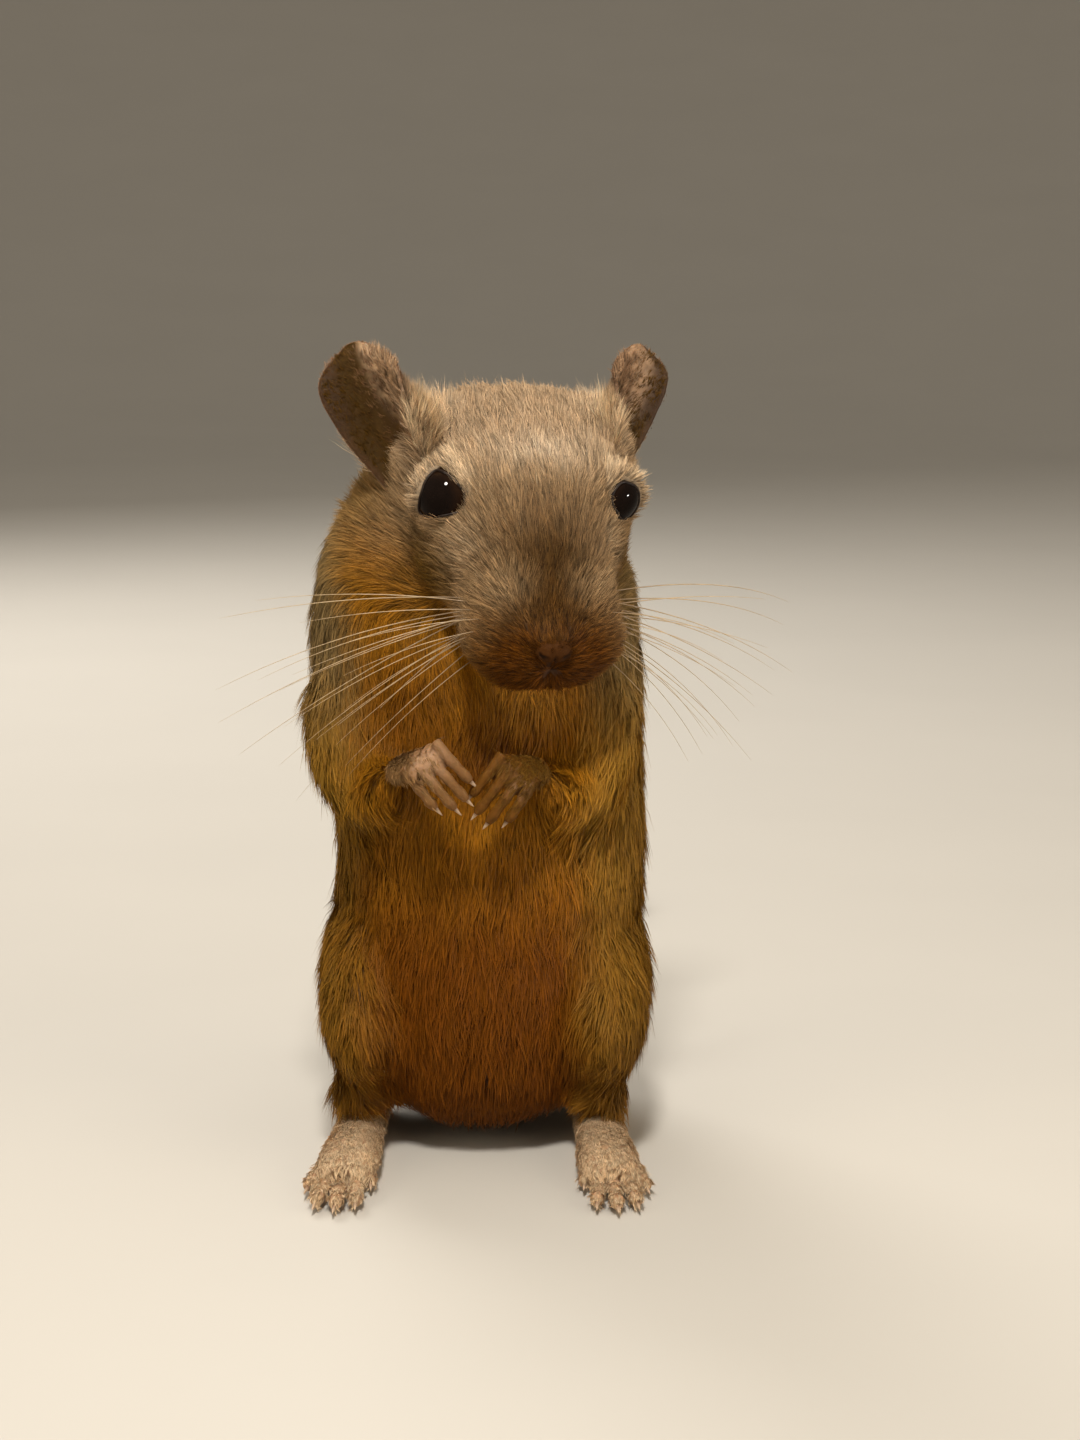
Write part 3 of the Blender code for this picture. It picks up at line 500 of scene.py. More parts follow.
TAUPE = np.array((0.29, 0.188, 0.098))
CROWN = np.array((0.35, 0.243, 0.148))
SHEEN = np.array((0.66, 0.550, 0.420))
BROW = np.array((0.62, 0.47, 0.31))
BRIDGE = np.array((0.075, 0.036, 0.009))
CHEEK = np.array((0.115, 0.058, 0.007))
MUZZLE = np.array((0.095, 0.030, 0.001))
LIP = np.array((0.125, 0.055, 0.006))
PAD_PALE_AND_LIT = np.array((0.42, 0.285, 0.155))
CHIN = np.array((0.62, 0.290, 0.035))
# The chest's and belly's dark ochre is partly the coat's own tone and partly painted shade and warm reflected light.
CHEST = np.array((0.30, 0.118, 0.004))
BELLY = np.array((0.27, 0.112, 0.005))
FLANK = np.array((0.25, 0.130, 0.015))
SHOULDER = np.array((0.195, 0.130, 0.052))
NECK = np.array((0.170, 0.098, 0.028))
LOW_SHADE = np.array((0.52, 0.37, 0.20))
HOLLOW_SHADE = np.array((0.60, 0.52, 0.40))
BEHIND_SHADE = np.array((0.48, 0.38, 0.24))
BACK = np.array((0.25, 0.150, 0.060))
TAIL_TOP = np.array((0.20, 0.120, 0.055))
DARK = np.array((0.020, 0.012, 0.008))


def lit_pad_tops(head):
    """One on the tops of the whiskers' pads, which are pale and carry a painted highlight, for places in the head's
    frame.
    """
    return near_both(head, (5.2, -14.6, -0.6), (2.7, 2.5, 1.8))


def blend(colour, other, share):
    return colour + (other - colour) * np.clip(share, 0, 1)[:, None]


def coat_colour(points):
    """The coat's colour at each place, painted light and shade included, which the skin under it shares."""
    head = body_to_head(points)
    face = face_share(points)
    x, y, z = points.T
    colour = np.tile(FLANK, (len(points), 1))
    colour = blend(colour, BACK, smoothstep(6, 20, y))
    colour = blend(colour, SHOULDER, smoothstep(46, 59, z) * smoothstep(16, 4, y))
    # The belly and chest carry painted shade and warm reflected light besides their own tone.
    front = smoothstep(2, -7, y) * smoothstep(14.5, 9.5, np.abs(x + 1.0))
    colour = blend(colour, BELLY, front)
    chest = near(points, (0.5, -12, 50), (11, 9, 12))
    colour = blend(colour, CHEST, 0.9 * chest)
    low = smoothstep(46, 25, z) * smoothstep(10, 0, y) * (0.5 + 0.5 * smoothstep(16, 7, np.abs(x)))
    colour = blend(colour, colour * LOW_SHADE, low)
    # Painted light on the left arm and the side of the chest beside it, where the light falls.
    painted_light = near(points, (13, -9, 42), (8, 8, 20))
    colour = blend(colour, colour * 1.4, painted_light)
    hollow = near(points, (-9, -12, 53), (6.5, 8, 8)) + near(points, (5, -12, 53), (6, 8, 5))
    colour = blend(colour, colour * HOLLOW_SHADE, hollow)
    behind = near(points, (-0.5, -12, 47), (7, 8, 4))
    colour = blend(colour, colour * BEHIND_SHADE, behind)
    colour = blend(colour, TAIL_TOP, smoothstep(28, 60, y) * 0.7)
    colour = blend(colour, DARK * 1.6, smoothstep(58, 86, y) * 0.85)
    hx, hy, hz = head.T
    top = TAUPE + (CROWN - TAUPE) * (smoothstep(-6, 4, hy) * smoothstep(-4, 2, hz))[:, None]
    head_share = smoothstep(24, 10, hy) * smoothstep(-20, -14, hz)
    colour = blend(colour, top, head_share * smoothstep(-13, -5, hz))
    colour = blend(colour, NECK, 0.8 * near_both(head, (15, 8, -7), (3.6, 5, 5)))
    # Painted highlight: a pale sheen across the forehead.
    colour = blend(colour, SHEEN, 0.6 * near(head, (1.5, -0.8, 7.5), (6.5, 3.2, 3.5)))
    colour = blend(colour, BROW, 0.35 * near_both(head, (7.2, -7.5, -0.5), (2.5, 3, 2.5)))
    cheek = near_both(head, (10.5, -5.0, -7.5), (3.6, 5.0, 4.6))
    colour = blend(colour, CHEEK, cheek * 1.1)
    bridge = smoothstep(-0.5, -13, hy) * np.exp(-((hx / 6.5) ** 2)) * smoothstep(-6, -2, hz)
    colour = blend(colour, BRIDGE, bridge)
    lips = near(head, (0, -16.0, -7.5), (9.5, 5.0, 5.6))
    colour = blend(colour, LIP, lips * 1.3)
    muzzle = near(head, (0, -18.0, -7.2), (6.2, 3.8, 4.8))
    colour = blend(colour, MUZZLE, muzzle * 1.7)
    colour = blend(colour, BRIDGE, 0.7 * near(head, (0, -17, -2.4), (3.4, 2.6, 2.4)))
    # Pale fur and a painted highlight on the pads' tops; their sides get a darker copy of it.
    colour = blend(colour, PAD_PALE_AND_LIT, lit_pad_tops(head) * 0.95)
    sides = near_both(head, (9.0, -12.5, -5.5), (2.0, 3.0, 3.2))
    colour = blend(colour, PAD_PALE_AND_LIT * 0.75, sides * 0.7)
    colour = colour * (1 + 0.30 * np.clip(muzzle + lips, 0, 1) * ripple(points, 1.1, 27))[:, None]
    # The chin's own pale fur, painted lighter where the muzzle's shadow falls on it.
    chin = near(head, (0, -12.0, -15.6), (4.2, 5.0, 2.4))
    colour = blend(colour, CHIN, chin * 1.3)
    for _, side in SIDES:
        local, angle, out = in_eye(points, side)
        rim = out / lid_reach(angle, side)
        ring = np.exp(-(((rim - 1.45) / 0.35) ** 2)) * (local[:, 1] > -1.0) * smoothstep(-2.0, 1.0, local[:, 2])
        colour = blend(colour, BROW, ring * 0.75)
        lid = smoothstep(1.16, 1.04, rim) * (local[:, 1] > 0) * (np.linalg.norm(local, axis=1) < 6)
        colour = blend(colour, DARK, lid)
    corners = near_both(head, (8.6, 8.0, 5.2), (1.6, 2.6, 1.8))
    colour = blend(colour, BROW, corners * 0.7)
    return colour


# The lie of the coat. Each route is followed by the hair near it: (places, reach), in mm.

HEAD_ROUTES = (
    (((0, -19, -3), (0, -14, 1.5), (0, -6, 4.5), (0, 2, 7), (0, 12, 5.5), (0, 20, -2)), 3.5),
    (((1.5, -19.5, -6), (5, -17, -5), (8.2, -12.5, -5), (9.5, -6, -5)), 2.2),
    (((1.5, -19.0, -8.5), (4.5, -17, -9.5), (7.5, -12, -10), (9.5, -6, -10)), 2.2),
    (((9.5, -6, -5), (11.5, 2, -6), (13.5, 9, -7.5), (12, 17, -10)), 4),
    (((9.5, -6, -10), (11, 1, -11), (12.5, 7, -13)), 4),
    (((0, -14, -14.5), (0, -8, -16.5), (0, 0, -17), (0, 6, -18)), 3),
    (((5.5, -9, 1.5), (7.4, -3.5, 3.6), (8.6, 2, 5.0), (9.0, 8, 5.0)), 2.5),
    (((7.0, -8, -1.5), (9.8, -3.5, -3.2), (12.4, 3, -3.2), (13.2, 9, -3.0)), 2.5),
)
BODY_ROUTES = (
    (((2, 8, 76), (1, 16, 64), (0, 22, 48), (0, 27, 32), (0, 27, 18), (0, 24, 11)), 8),
    (((12, 3, 70), (17, 6, 60), (17.5, 8, 44), (17.5, 12, 26), (12, 20, 14)), 7),
    (((4, -13, 58), (1, -14, 50), (0, -16, 38), (0, -16, 24), (0, -12, 10)), 6),
    (((9, -11, 60), (9, -13, 46), (9, -14, 28), (7, -11, 10)), 5),
    (((13, 2, 60), (14, -3, 54), (14.5, -8, 47), (12, -13, 42), (10, -15, 36)), 5),
    (((12, 14, 32), (17, 4, 26), (18, -4, 18), (15, -10, 11)), 5),
    (((13, 18, 24), (15, 13, 14), (13, 10, 6)), 4),
    (((13.6, -8, 7), (13.4, 2, 5.5), (13, 10, 4)), 2),
    (((0, 24, 11.5), (0.6, 39, 5.5), (2.4, 58, 3), (6, 78, 2.7), (12, 95.6, 2.5), (16.4, 107, 1.8)), 3),
)


def lie_of_coat(points, normals):
    """The unit way that hair lies at each place, along the surface."""
    total = np.zeros_like(points)
    for routes, into in ((HEAD_ROUTES, head_to_body), (BODY_ROUTES, np.asarray)):
        for places, reach in routes:
            sides = (1,) if all(p[0] == 0 for p in places) else (1, -1)
            for side in sides:
                route = into(np.array(places, float) * (side, 1, 1))
                for a, b in zip(route[:-1], route[1:]):
                    way = b - a
                    t = np.clip((points - a) @ way / (way @ way), 0, 1)
                    away = np.linalg.norm(points - a - t[:, None] * way, axis=1)
                    total += (1 / (away / reach + 0.4) ** 4)[:, None] * unit(way)
    total -= (total * normals).sum(1, keepdims=True) * normals
    return unit(total)


def coat_length(points):
    """The hair's length at each place, in mm."""
    head = body_to_head(points)
    face = face_share(points)
    x, y, z = points.T
    length = 3.9 - 1.0 * smoothstep(20, 8, z)
    length = length + (2.2 - length) * smoothstep(24, 40, y)
    length = length + (2.7 - length) * face
    muzzle = smoothstep(-6, -17, head[:, 1]) * face
    length = length * (1 - 0.5 * muzzle)
    for _, side in SIDES:
        local, angle, out = in_eye(points, side)
        rim = out / lid_reach(angle, side)
        close = smoothstep(2.1, 1.0, rim) * (local[:, 1] > -0.5)
        length = length * (1 - (0.35 + 0.25 * (local[:, 0] < 0)) * close)
    length = length * (1 - 0.6 * near(head, (11.0, 2.5, 1.5), (2.5, 3.0, 3.5)))
    arms = near_both(points, (8.6, -17, 45), (4, 4, 4))
    length = length * (1 - 0.55 * arms) + 1.0 * ear_mound(points)
    return length


TAIL_COAT_END = 77.5
# The least share of a hair's length that counts as pointing to the eye, and how far its tip may pass
# the opening's rim.
EYE_INWARD = 0.12
EYE_ROOM = 0.05


def clear_of_eyes(points, lie, length):
    """The length cut so that hair which points to an eye's opening ends at its rim."""
    for _, side in SIDES:
        local, angle, out = in_eye(points, side)
        over, up = LID_CENTRES[side]
        radial = unit(np.stack([local[:, 0] - over, 0 * out, local[:, 2] - up], 1))
        radial = radial @ eye_axes(side).T @ HEAD_AXES.T
        inward = np.maximum(-(lie * radial).sum(1), EYE_INWARD)
        room = (out - lid_reach(angle, side) + EYE_ROOM) / inward
        close = (local[:, 1] > -1.5) & (np.linalg.norm(local, axis=1) < 7.5)
        length = np.where(close, np.minimum(length, np.maximum(room, 0.3)), length)
    return length


def coat_density(points):
    """How closely the tufts stand, next to one on the back."""
    head = body_to_head(points)
    face = face_share(points)
    density = 1 + 2.2 * face + 1.6 * smoothstep(-5, -15, head[:, 1]) * face
    hidden = smoothstep(6, 2, points[:, 2]) * (points[:, 1] < 20) * (points[:, 1] > -9)
    density *= 1 - 0.7 * hidden
    density *= smoothstep(TAIL_COAT_END + 0.5, TAIL_COAT_END - 0.5, points[:, 1])
    for _, side in SIDES:
        local, angle, out = in_eye(points, side)
        bare = (out / lid_reach(angle, side) < 1.07) & (local[:, 1] > -2) & (np.linalg.norm(local, axis=1) < 6)
        density = np.where(bare, 0, density)
    return density


def coat_manner(points):
    """How steeply the tufts rise, in radians, their blades' width and spread, in mm, how far the
    blades' tips draw together, and how much they differ in shade."""
    head = body_to_head(points)
    face = face_share(points)
    muzzle = smoothstep(-6, -16, head[:, 1]) * face
    lift = 0.17 - 0.02 * face + 0.12 * muzzle
    lift += 0.22 * near_both(head, (10.5, 7.5, -2.0), (4, 4, 4))
    lift += 0.30 * ear_mound(points) + 0.30 * lit_pad_tops(head)
    width = 0.110 - 0.045 * face - 0.01 * muzzle
    spread = 0.40 - 0.18 * face - 0.03 * muzzle
    clump = 0.12 + 0.28 * face
    contrast = 0.32 + 0.83 * face + 0.45 * muzzle
    return lift, width, spread, clump, contrast


# The coat

BLADES = 5
PATCH = 0.003
# The share of its colour that a blade has at its two root corners, its middle and its tip; darker roots are partly the
# undercoat's tone and partly painted shade, and the lighter tip is painted light.
BLADE_STEPS = (0.6, 0.6, 0.95, 0.95, 1.2)
LEAST_HEIGHT = 0.05


def ripple(points, scale, phase):
    """A smooth, seeded wander between about -1 and 1."""
    draw = np.random.default_rng(SEED + phase)
    total = np.zeros(len(points))
    for _ in range(5):
        way = draw.normal(size=3)
        total += np.sin(points @ unit(way) * 2 * np.pi / (scale * draw.uniform(0.6, 1.6)) + draw.uniform(0, 6.3))
    return total / 2.5


def grow_tufts(bed, count, draw):
    """Draws the roots of the tufts on a bed: its triangles and what each vertex says of the coat."""
    corners = bed["triangles"]
    a, b, c = (bed["points"][corners[:, k]] for k in range(3))
    area = np.linalg.norm(np.cross(b - a, c - a), axis=1) / 2
    weight = area * bed["density"][corners].mean(1)
    chosen = np.searchsorted(np.cumsum(weight) / weight.sum(), draw.random(count))
    chosen = np.minimum(chosen, len(corners) - 1)
    u, v = draw.random(count), draw.random(count)
    flip = u + v > 1
    u, v = np.where(flip, 1 - u, u), np.where(flip, 1 - v, v)
    shares = np.stack([1 - u - v, u, v], 1)
    picked = corners[chosen]

    def mixed(values):
        return (values[picked] * shares[..., None]).sum(1)

    tufts = {key: mixed(bed[key]) for key in ("points", "normals", "lie", "colour")}
    tufts["length"] = mixed(bed["length"][:, None])[:, 0]
    tufts["uv"] = (bed["uv"][chosen] * shares[..., None]).sum(1)
    tufts["part"] = bed["part"][chosen]
    return tufts


def blades_of(tufts, draw, lift, width, spread, clump=0.4, contrast=1.0, bend=0.07):
    """Points, normals, colours and patches of the blades, five vertices and three triangles for each."""
    count = len(tufts["points"])
    width, spread, clump, contrast = (np.reshape(v, (-1, 1, 1)) for v in (width, spread, clump, contrast))
    normal, lie = unit(tufts["normals"]), unit(tufts["lie"])
    side = unit(np.cross(normal, lie))
    root = tufts["points"]
    yaw = 0.15 * draw.normal(size=count) + 0.13 * ripple(root, 7.0, 1) + 0.11 * ripple(root, 2.6, 2)
    lie = unit(lie * np.cos(yaw)[:, None] + side * np.sin(yaw)[:, None])
    side = np.cross(normal, lie)
    rise = lift * (1 + 0.35 * ripple(root, 5.0, 3) + 0.25 * draw.normal(size=count))
    rise = np.clip(rise, 0.08, 1.2)
    way = lie * np.cos(rise)[:, None] + normal * np.sin(rise)[:, None]
    length = tufts["length"] * (1 + 0.15 * draw.normal(size=count)).clip(0.6, 1.3)

    shape = (count, BLADES, 1)
    off = draw.normal(size=(count, BLADES, 2)) * spread
    scatter = off[..., :1] * lie[:, None] + off[..., 1:] * side[:, None]
    start = root[:, None] + scatter - 0.12 * normal[:, None]
    own = length[:, None, None] * (1 + 0.15 * draw.normal(size=shape)).clip(0.6, 1.25)
    stray = draw.normal(size=(count, BLADES, 3)) * 0.05 * own
    end = root[:, None] + way[:, None] * own + scatter * (1 - clump) + stray
    middle = start + (end - start) * 0.52 + normal[:, None] * own * bend

    roll = draw.normal(size=shape) * 0.45
    axis = unit(end - start)
    flat = unit(np.cross(np.broadcast_to(normal[:, None], axis.shape), axis))
    over = np.cross(axis, flat)
    flat_rolled = flat * np.cos(roll) + over * np.sin(roll)
    half = width * (1 + 0.25 * draw.normal(size=shape)).clip(0.5, 1.6) / 2
    points = np.stack(
        [
            start + flat_rolled * half,
            start - flat_rolled * half,
            middle - flat_rolled * half * 0.85,
            middle + flat_rolled * half * 0.85,
            end,
        ],
        axis=2,
    )
    face = unit(over * np.cos(roll) - flat * np.sin(roll) + 0.5 * normal[:, None])
    tilt = 0.7
    left, right = unit(face - flat_rolled * tilt), unit(face + flat_rolled * tilt)
    normals = np.stack([right, left, left, right, face], axis=2)

    shade = 0.19 * draw.normal(size=(count, 1, 1)) + 0.10 * draw.normal(size=shape)
    shade = shade + draw.choice((-0.45, 0.0, 0.4), size=shape, p=(0.18, 0.64, 0.18))
    shade = (1 + contrast * shade).clip(0.3, 1.8)
    warm = 1 + 0.03 * draw.normal(size=(count, 1, 1)) * np.array((1, 0, -1))
    base = tufts["colour"][:, None] * shade * warm
    steps = np.array(BLADE_STEPS)
    colours = base[:, :, None] * steps[:, None]
    step_u = (np.arange(BLADES) + 0.5) / BLADES - 0.5
    patch = np.zeros((count, BLADES, 5, 2))
    patch[..., 0] = tufts["uv"][:, None, None, 0] + PATCH * (step_u[None, :, None] + np.array((-0.08, 0.08, 0.08, -0.08, 0)))
    patch[..., 1] = tufts["uv"][:, None, None, 1] + PATCH * np.array((-0.5, -0.5, 0.0, 0.0, 0.5))
    return points, normals, colours, patch


def blade_mesh(name, points, normals, colours, patch):
    """A mesh of blades, each a quad from the root to the middle and a triangle on to the tip."""
    blades = points.shape[0] * points.shape[1]
    mesh = bpy.data.meshes.new(name)
    mesh.vertices.add(blades * 5)
    places = points.reshape(-1, 3) * 1.0
    places[:, 2] = np.maximum(places[:, 2], LEAST_HEIGHT)
    mesh.vertices.foreach_set("co", placed(places).astype(np.float32).ravel())
    first = np.arange(blades, dtype=np.int32)[:, None] * 5
    corners = (first + np.array((0, 1, 2, 3, 3, 2, 4), np.int32)).ravel()
    starts = (np.arange(blades, dtype=np.int32)[:, None] * 7 + np.array((0, 4), np.int32)).ravel()
    mesh.loops.add(blades * 7)
    mesh.loops.foreach_set("vertex_index", corners)
    mesh.polygons.add(blades * 2)
    mesh.polygons.foreach_set("loop_start", starts)
    mesh.update(calc_edges=True)
    layer = mesh.uv_layers.new(name="OFBake")
    layer.data.foreach_set("uv", patch.reshape(-1, 2)[corners].astype(np.float32).ravel())
    paint(mesh, colours.reshape(-1, 3))
    mesh.shade_smooth()
    mesh.normals_split_custom_set_from_vertices(normals.reshape(-1, 3).astype(np.float32))
    return mesh


def bed_of(mesh, lie, colour, length, density, part):
    """What the tufts need to know of a mesh that they grow on."""
    corners, loops = triangles_of(mesh)
    layer = mesh.uv_layers.active
    uv = np.empty(len(mesh.loops) * 2, np.float32)
    layer.data.foreach_get("uv", uv)
    return {
        "points": unplaced(read(mesh, "vertices", "co")),
        "normals": read(mesh, "vertices", "normal"),
        "triangles": corners,
        "uv": uv.reshape(-1, 2)[loops],
        "lie": lie,
        "colour": colour,
        "length": length,
        "density": density,
        "part": part[corners[:, 0]],
    }


def unwrap(obj):
    """Lays the object's own surface out flat as islands in the map OFBake."""
    obj.data.uv_layers.new(name="OFBake")
    bpy.context.view_layer.objects.active = obj
    obj.select_set(True)
    bpy.ops.object.mode_set(mode="EDIT")
    bpy.ops.mesh.select_all(action="SELECT")
    bpy.ops.uv.smart_project(angle_limit=math.radians(66), island_margin=0.003)
    bpy.ops.object.mode_set(mode="OBJECT")
    obj.select_set(False)


TUFTS = 76000
PIECE_TUFTS = 12500
PART_NAMES = ("face", "crown", "neck", "chest", "belly", "back", "arms", "legs", "tail")


def part_of(points):
    """The number of the coat's part that each place belongs to, in the order of PART_NAMES."""
    head = body_to_head(points)
    x, y, z = points.T
    part = np.full(len(points), PART_NAMES.index("back"))
    part[(y < 4) & (z < 60)] = PART_NAMES.index("belly")
    part[(y < 2) & (z > 40) & (z < 60)] = PART_NAMES.index("chest")
    part[(z >= 58)] = PART_NAMES.index("neck")
    part[(z < 30) & (np.abs(x) > 12) & (y < 16)] = PART_NAMES.index("legs")
    part[(np.abs(x) > 9) & (y < -9) & (z > 36) & (z < 58)] = PART_NAMES.index("arms")
    part[face_share(points) > 0.35] = PART_NAMES.index("crown")
    part[(face_share(points) > 0.35) & (head[:, 1] < -1)] = PART_NAMES.index("face")
    part[y > 30] = PART_NAMES.index("tail")
    return part


def make_coat(bed, count, finish):
    """Grows the coat on the skin and joins its tufts into pieces by part."""
    draw = np.random.default_rng(SEED)
    tufts = grow_tufts(bed, count, draw)
    made = []
    for number in np.unique(tufts["part"]):
        chosen = np.flatnonzero(tufts["part"] == number)
        pieces = int(np.ceil(len(chosen) / PIECE_TUFTS))
        for k, some in enumerate(np.array_split(chosen, pieces)):
            own = {key: values[some] for key, values in tufts.items()}
            name = f"coat_{PART_NAMES[number]}" + (f"_{k + 1}" if pieces > 1 else "")
            mesh = blade_mesh(name, *blades_of(own, draw, *coat_manner(own["points"])))
            made.append(shown(name, mesh, finish))
    return made


# Tubes and balls


def rings_along(rows, across, sides, power=2.0):
    """One closed ring per row (x, y, z, half width, reach above, reach below), square to the path."""
    centres = rows[:, :3]
    along = unit(np.gradient(centres, axis=0))
    wide = unit(across - (along @ np.asarray(across, float))[:, None] * along)
    under = np.cross(along, wide)
    angle = np.arange(sides) * 2 * np.pi / sides
    x = np.sign(np.cos(angle)) * np.abs(np.cos(angle)) ** (2 / power)
    y = np.sign(np.sin(angle)) * np.abs(np.sin(angle)) ** (2 / power)
    reach = np.where(y > 0, rows[:, 5:6], rows[:, 4:5])
    return (
        centres[:, None]
        + (rows[:, 3:4] * x)[..., None] * wide[:, None]
        + (reach * y)[..., None] * under[:, None]
    )


def skin_of(rings):
    """Points and outward faces of the closed surface over the rings, with a pole past each end ring."""
    count, sides = rings.shape[:2]
    first, last = rings[0].mean(0), rings[-1].mean(0)
    first = first + 0.35 * (first - rings[1].mean(0))
    last = last + 0.35 * (last - rings[-2].mean(0))
    points = np.vstack([rings.reshape(-1, 3), first, last])
    faces = []
    for i in range(count - 1):
        for j in range(sides):
            k = (j + 1) % sides
            faces.append((i * sides + j, i * sides + k, (i + 1) * sides + k, (i + 1) * sides + j))
    for j in range(sides):
        k = (j + 1) % sides
        faces.append((count * sides, k, j))
        faces.append((count * sides + 1, (count - 1) * sides + j, (count - 1) * sides + k))
    return points, faces


def round_rows(rows):
    return [(x, y, z, r, r, r) for x, y, z, r in rows]


def tube(rows, sides, count, across=(1, 0, 0), power=2.0):
    return skin_of(rings_along(through(rows, count), across, sides, power))


def all_in_one(shapes):
    """One list of points and faces from several."""
    points, faces, start = [], [], 0
    for some, these in shapes:
        points.append(some)
        faces += [tuple(v + start for v in face) for face in these]
        start += len(some)
    return np.vstack(points), faces


def along_each(shapes, sides):
    """How far along its own shape each point lies, from 0 at the first ring to 1 at the last."""
    shares = []
    for points, _ in shapes:
        rings = (len(points) - 2) // sides
        shares += [np.repeat(np.linspace(0, 1, rings), sides), (0, 1)]
    return np.concatenate(shares)


def ball(place, radii, axes, rings, sides):
    """A ball with its poles along the second of its own axes."""
    steps = np.linspace(0, np.pi, rings + 2)[1:-1]
    rows = np.array([(0, math.cos(s), 0, *[math.sin(s)] * 3) for s in steps])
    points, faces = skin_of(rings_along(rows, (1, 0, 0), sides))
    points[-2:] = (0, 1, 0), (0, -1, 0)
    return points * radii @ np.asarray(axes).T + place, faces


# Eyes and lids

CORNEA = 0.22
EYE_GLOSS = 0.14
EYE_BLACK = np.array((0.0055, 0.0032, 0.0024))
EYE_BROWN = np.array((0.0150, 0.0070, 0.0035))
LID_BLACK = np.array((0.016, 0.009, 0.006))
LID_HALF = 0.15
LID_LIFT = 0.12


EYE_DRAWN = 0.22


def make_eye(side_name, side, finish):
    points, faces = ball((0, 0, 0), np.full(3, EYE_RADIUS), np.eye(3), 40, 64)
    over, up = LID_CENTRES[side]
    middle = unit((over, EYE_RADIUS, up)) * EYE_RADIUS
    points += CORNEA * near(points, middle, 2.1)[:, None] * unit(middle)
    share = smoothstep(1.6, 3.0, np.linalg.norm(points - unit(middle) * EYE_RADIUS, axis=1))
    # Past the lids the ball draws in, so that it stays under the skin.
    angle = np.arctan2(points[:, 2] - up, points[:, 0] - over)
    out = np.hypot(points[:, 0] - over, points[:, 2] - up)
    points *= (1 - EYE_DRAWN * smoothstep(1.12, 1.4, out / lid_reach(angle, side)))[:, None]
    points = head_to_body(points @ eye_axes(side).T + EYE_PLACE * (side, 1, 1))
    name = "eyeball_" + side_name
    mesh = outward(mesh_of(name, points, faces))
    paint(mesh, blend(np.tile(EYE_BLACK, (len(points), 1)), EYE_BROWN, share))
    return shown(name, mesh, finish)


def outward(mesh):
    """Points all faces out of the closed mesh."""
    work = bmesh.new()
    work.from_mesh(mesh)
    bmesh.ops.recalc_face_normals(work, faces=work.faces[:])
    if work.calc_volume(signed=True) < 0:
        bmesh.ops.reverse_faces(work, faces=work.faces[:])
    work.to_mesh(mesh)
    work.free()
    return mesh


def make_lids(side_name, side, finish):
    """The dark bare rim of both lids, which lies on the eyeball."""
    steps, sides = 120, 10
    angle = np.arange(steps) * 2 * np.pi / steps
    out = lid_reach(angle, side) + 0.08
    over, high = LID_CENTRES[side]
    x, z = over + out * np.cos(angle), high + out * np.sin(angle)
    core = np.stack([x, np.sqrt(np.maximum((EYE_RADIUS + 0.1) ** 2 - x**2 - z**2, 0.2)), z], 1)
    along = unit(np.roll(core, -1, 0) - np.roll(core, 1, 0))
    up = unit(core)
    wide = np.cross(along, up)
    turn = np.arange(sides) * 2 * np.pi / sides
    flat = (LID_HALF * np.cos(turn))[None, :, None] * wide[:, None]
    ring = core[:, None] + flat + (LID_LIFT * np.sin(turn))[None, :, None] * up[:, None]
    faces = []
    for i in range(steps):
        for j in range(sides):
            a, b, k = i * sides, (i + 1) % steps * sides, (j + 1) % sides
            faces.append((a + j, a + k, b + k, b + j))
    points = head_to_body(ring.reshape(-1, 3) @ eye_axes(side).T + EYE_PLACE * (side, 1, 1))
    name = "lids_" + side_name
    mesh = outward(mesh_of(name, points, faces))
    paint(mesh, LID_BLACK * (1 + 0.35 * ripple(points, 1.2, 25)[:, None]))
    return shown(name, mesh, finish)


# The nose

NOSE_PLACE = np.array((0.0, -18.7, -4.3))
NOSE_RADII = np.array((1.9, 1.15, 1.35))
NOSTRIL = np.array((1.05, -1.0, -0.25))
NOSE_BROWN = np.array((0.050, 0.018, 0.004))


def make_nose(finish):
    """A small bare nose with two comma-shaped nostrils and the crease under it."""
    points, faces = ball((0, 0, 0), NOSE_RADII, np.eye(3), 40, 64)
    sink = np.zeros(len(points))
    for side in (-1, 1):
        for step in np.linspace(0, 1, 6):
            place = NOSTRIL * (side, 1, 1) + np.array((side * 0.55 * step, 0.25 * step, 0.42 * step * step))
            sink = np.maximum(sink, near(points, place, 0.30 - 0.1 * step) * (1 - 0.35 * step))
        points += near(points, NOSTRIL * (side * 1.1, 1, 1), 0.75)[:, None] * 0.2 * np.array((side * 0.5, -0.6, 0.5))
    points[:, 1] += 0.55 * sink
    crease = np.exp(-((points[:, 0] / 0.16) ** 2)) * (points[:, 2] < 0.2) * smoothstep(0.4, -0.4, points[:, 2])
    points[:, 1] += 0.3 * crease
    mesh = outward(mesh_of("nose_pad", head_to_body(points + NOSE_PLACE), faces))
    colour = np.tile(NOSE_BROWN, (len(points), 1))
    # Painted shade in the nostrils and, fainter, in the crease under the nose.
    paint(mesh, blend(colour, DARK, np.maximum(sink, crease * 0.6)))
    return shown("nose_pad", mesh, finish)


# Ears: each row is (height, half width along its curve, lean to the outside, radius of its cup,
# set back), in mm.

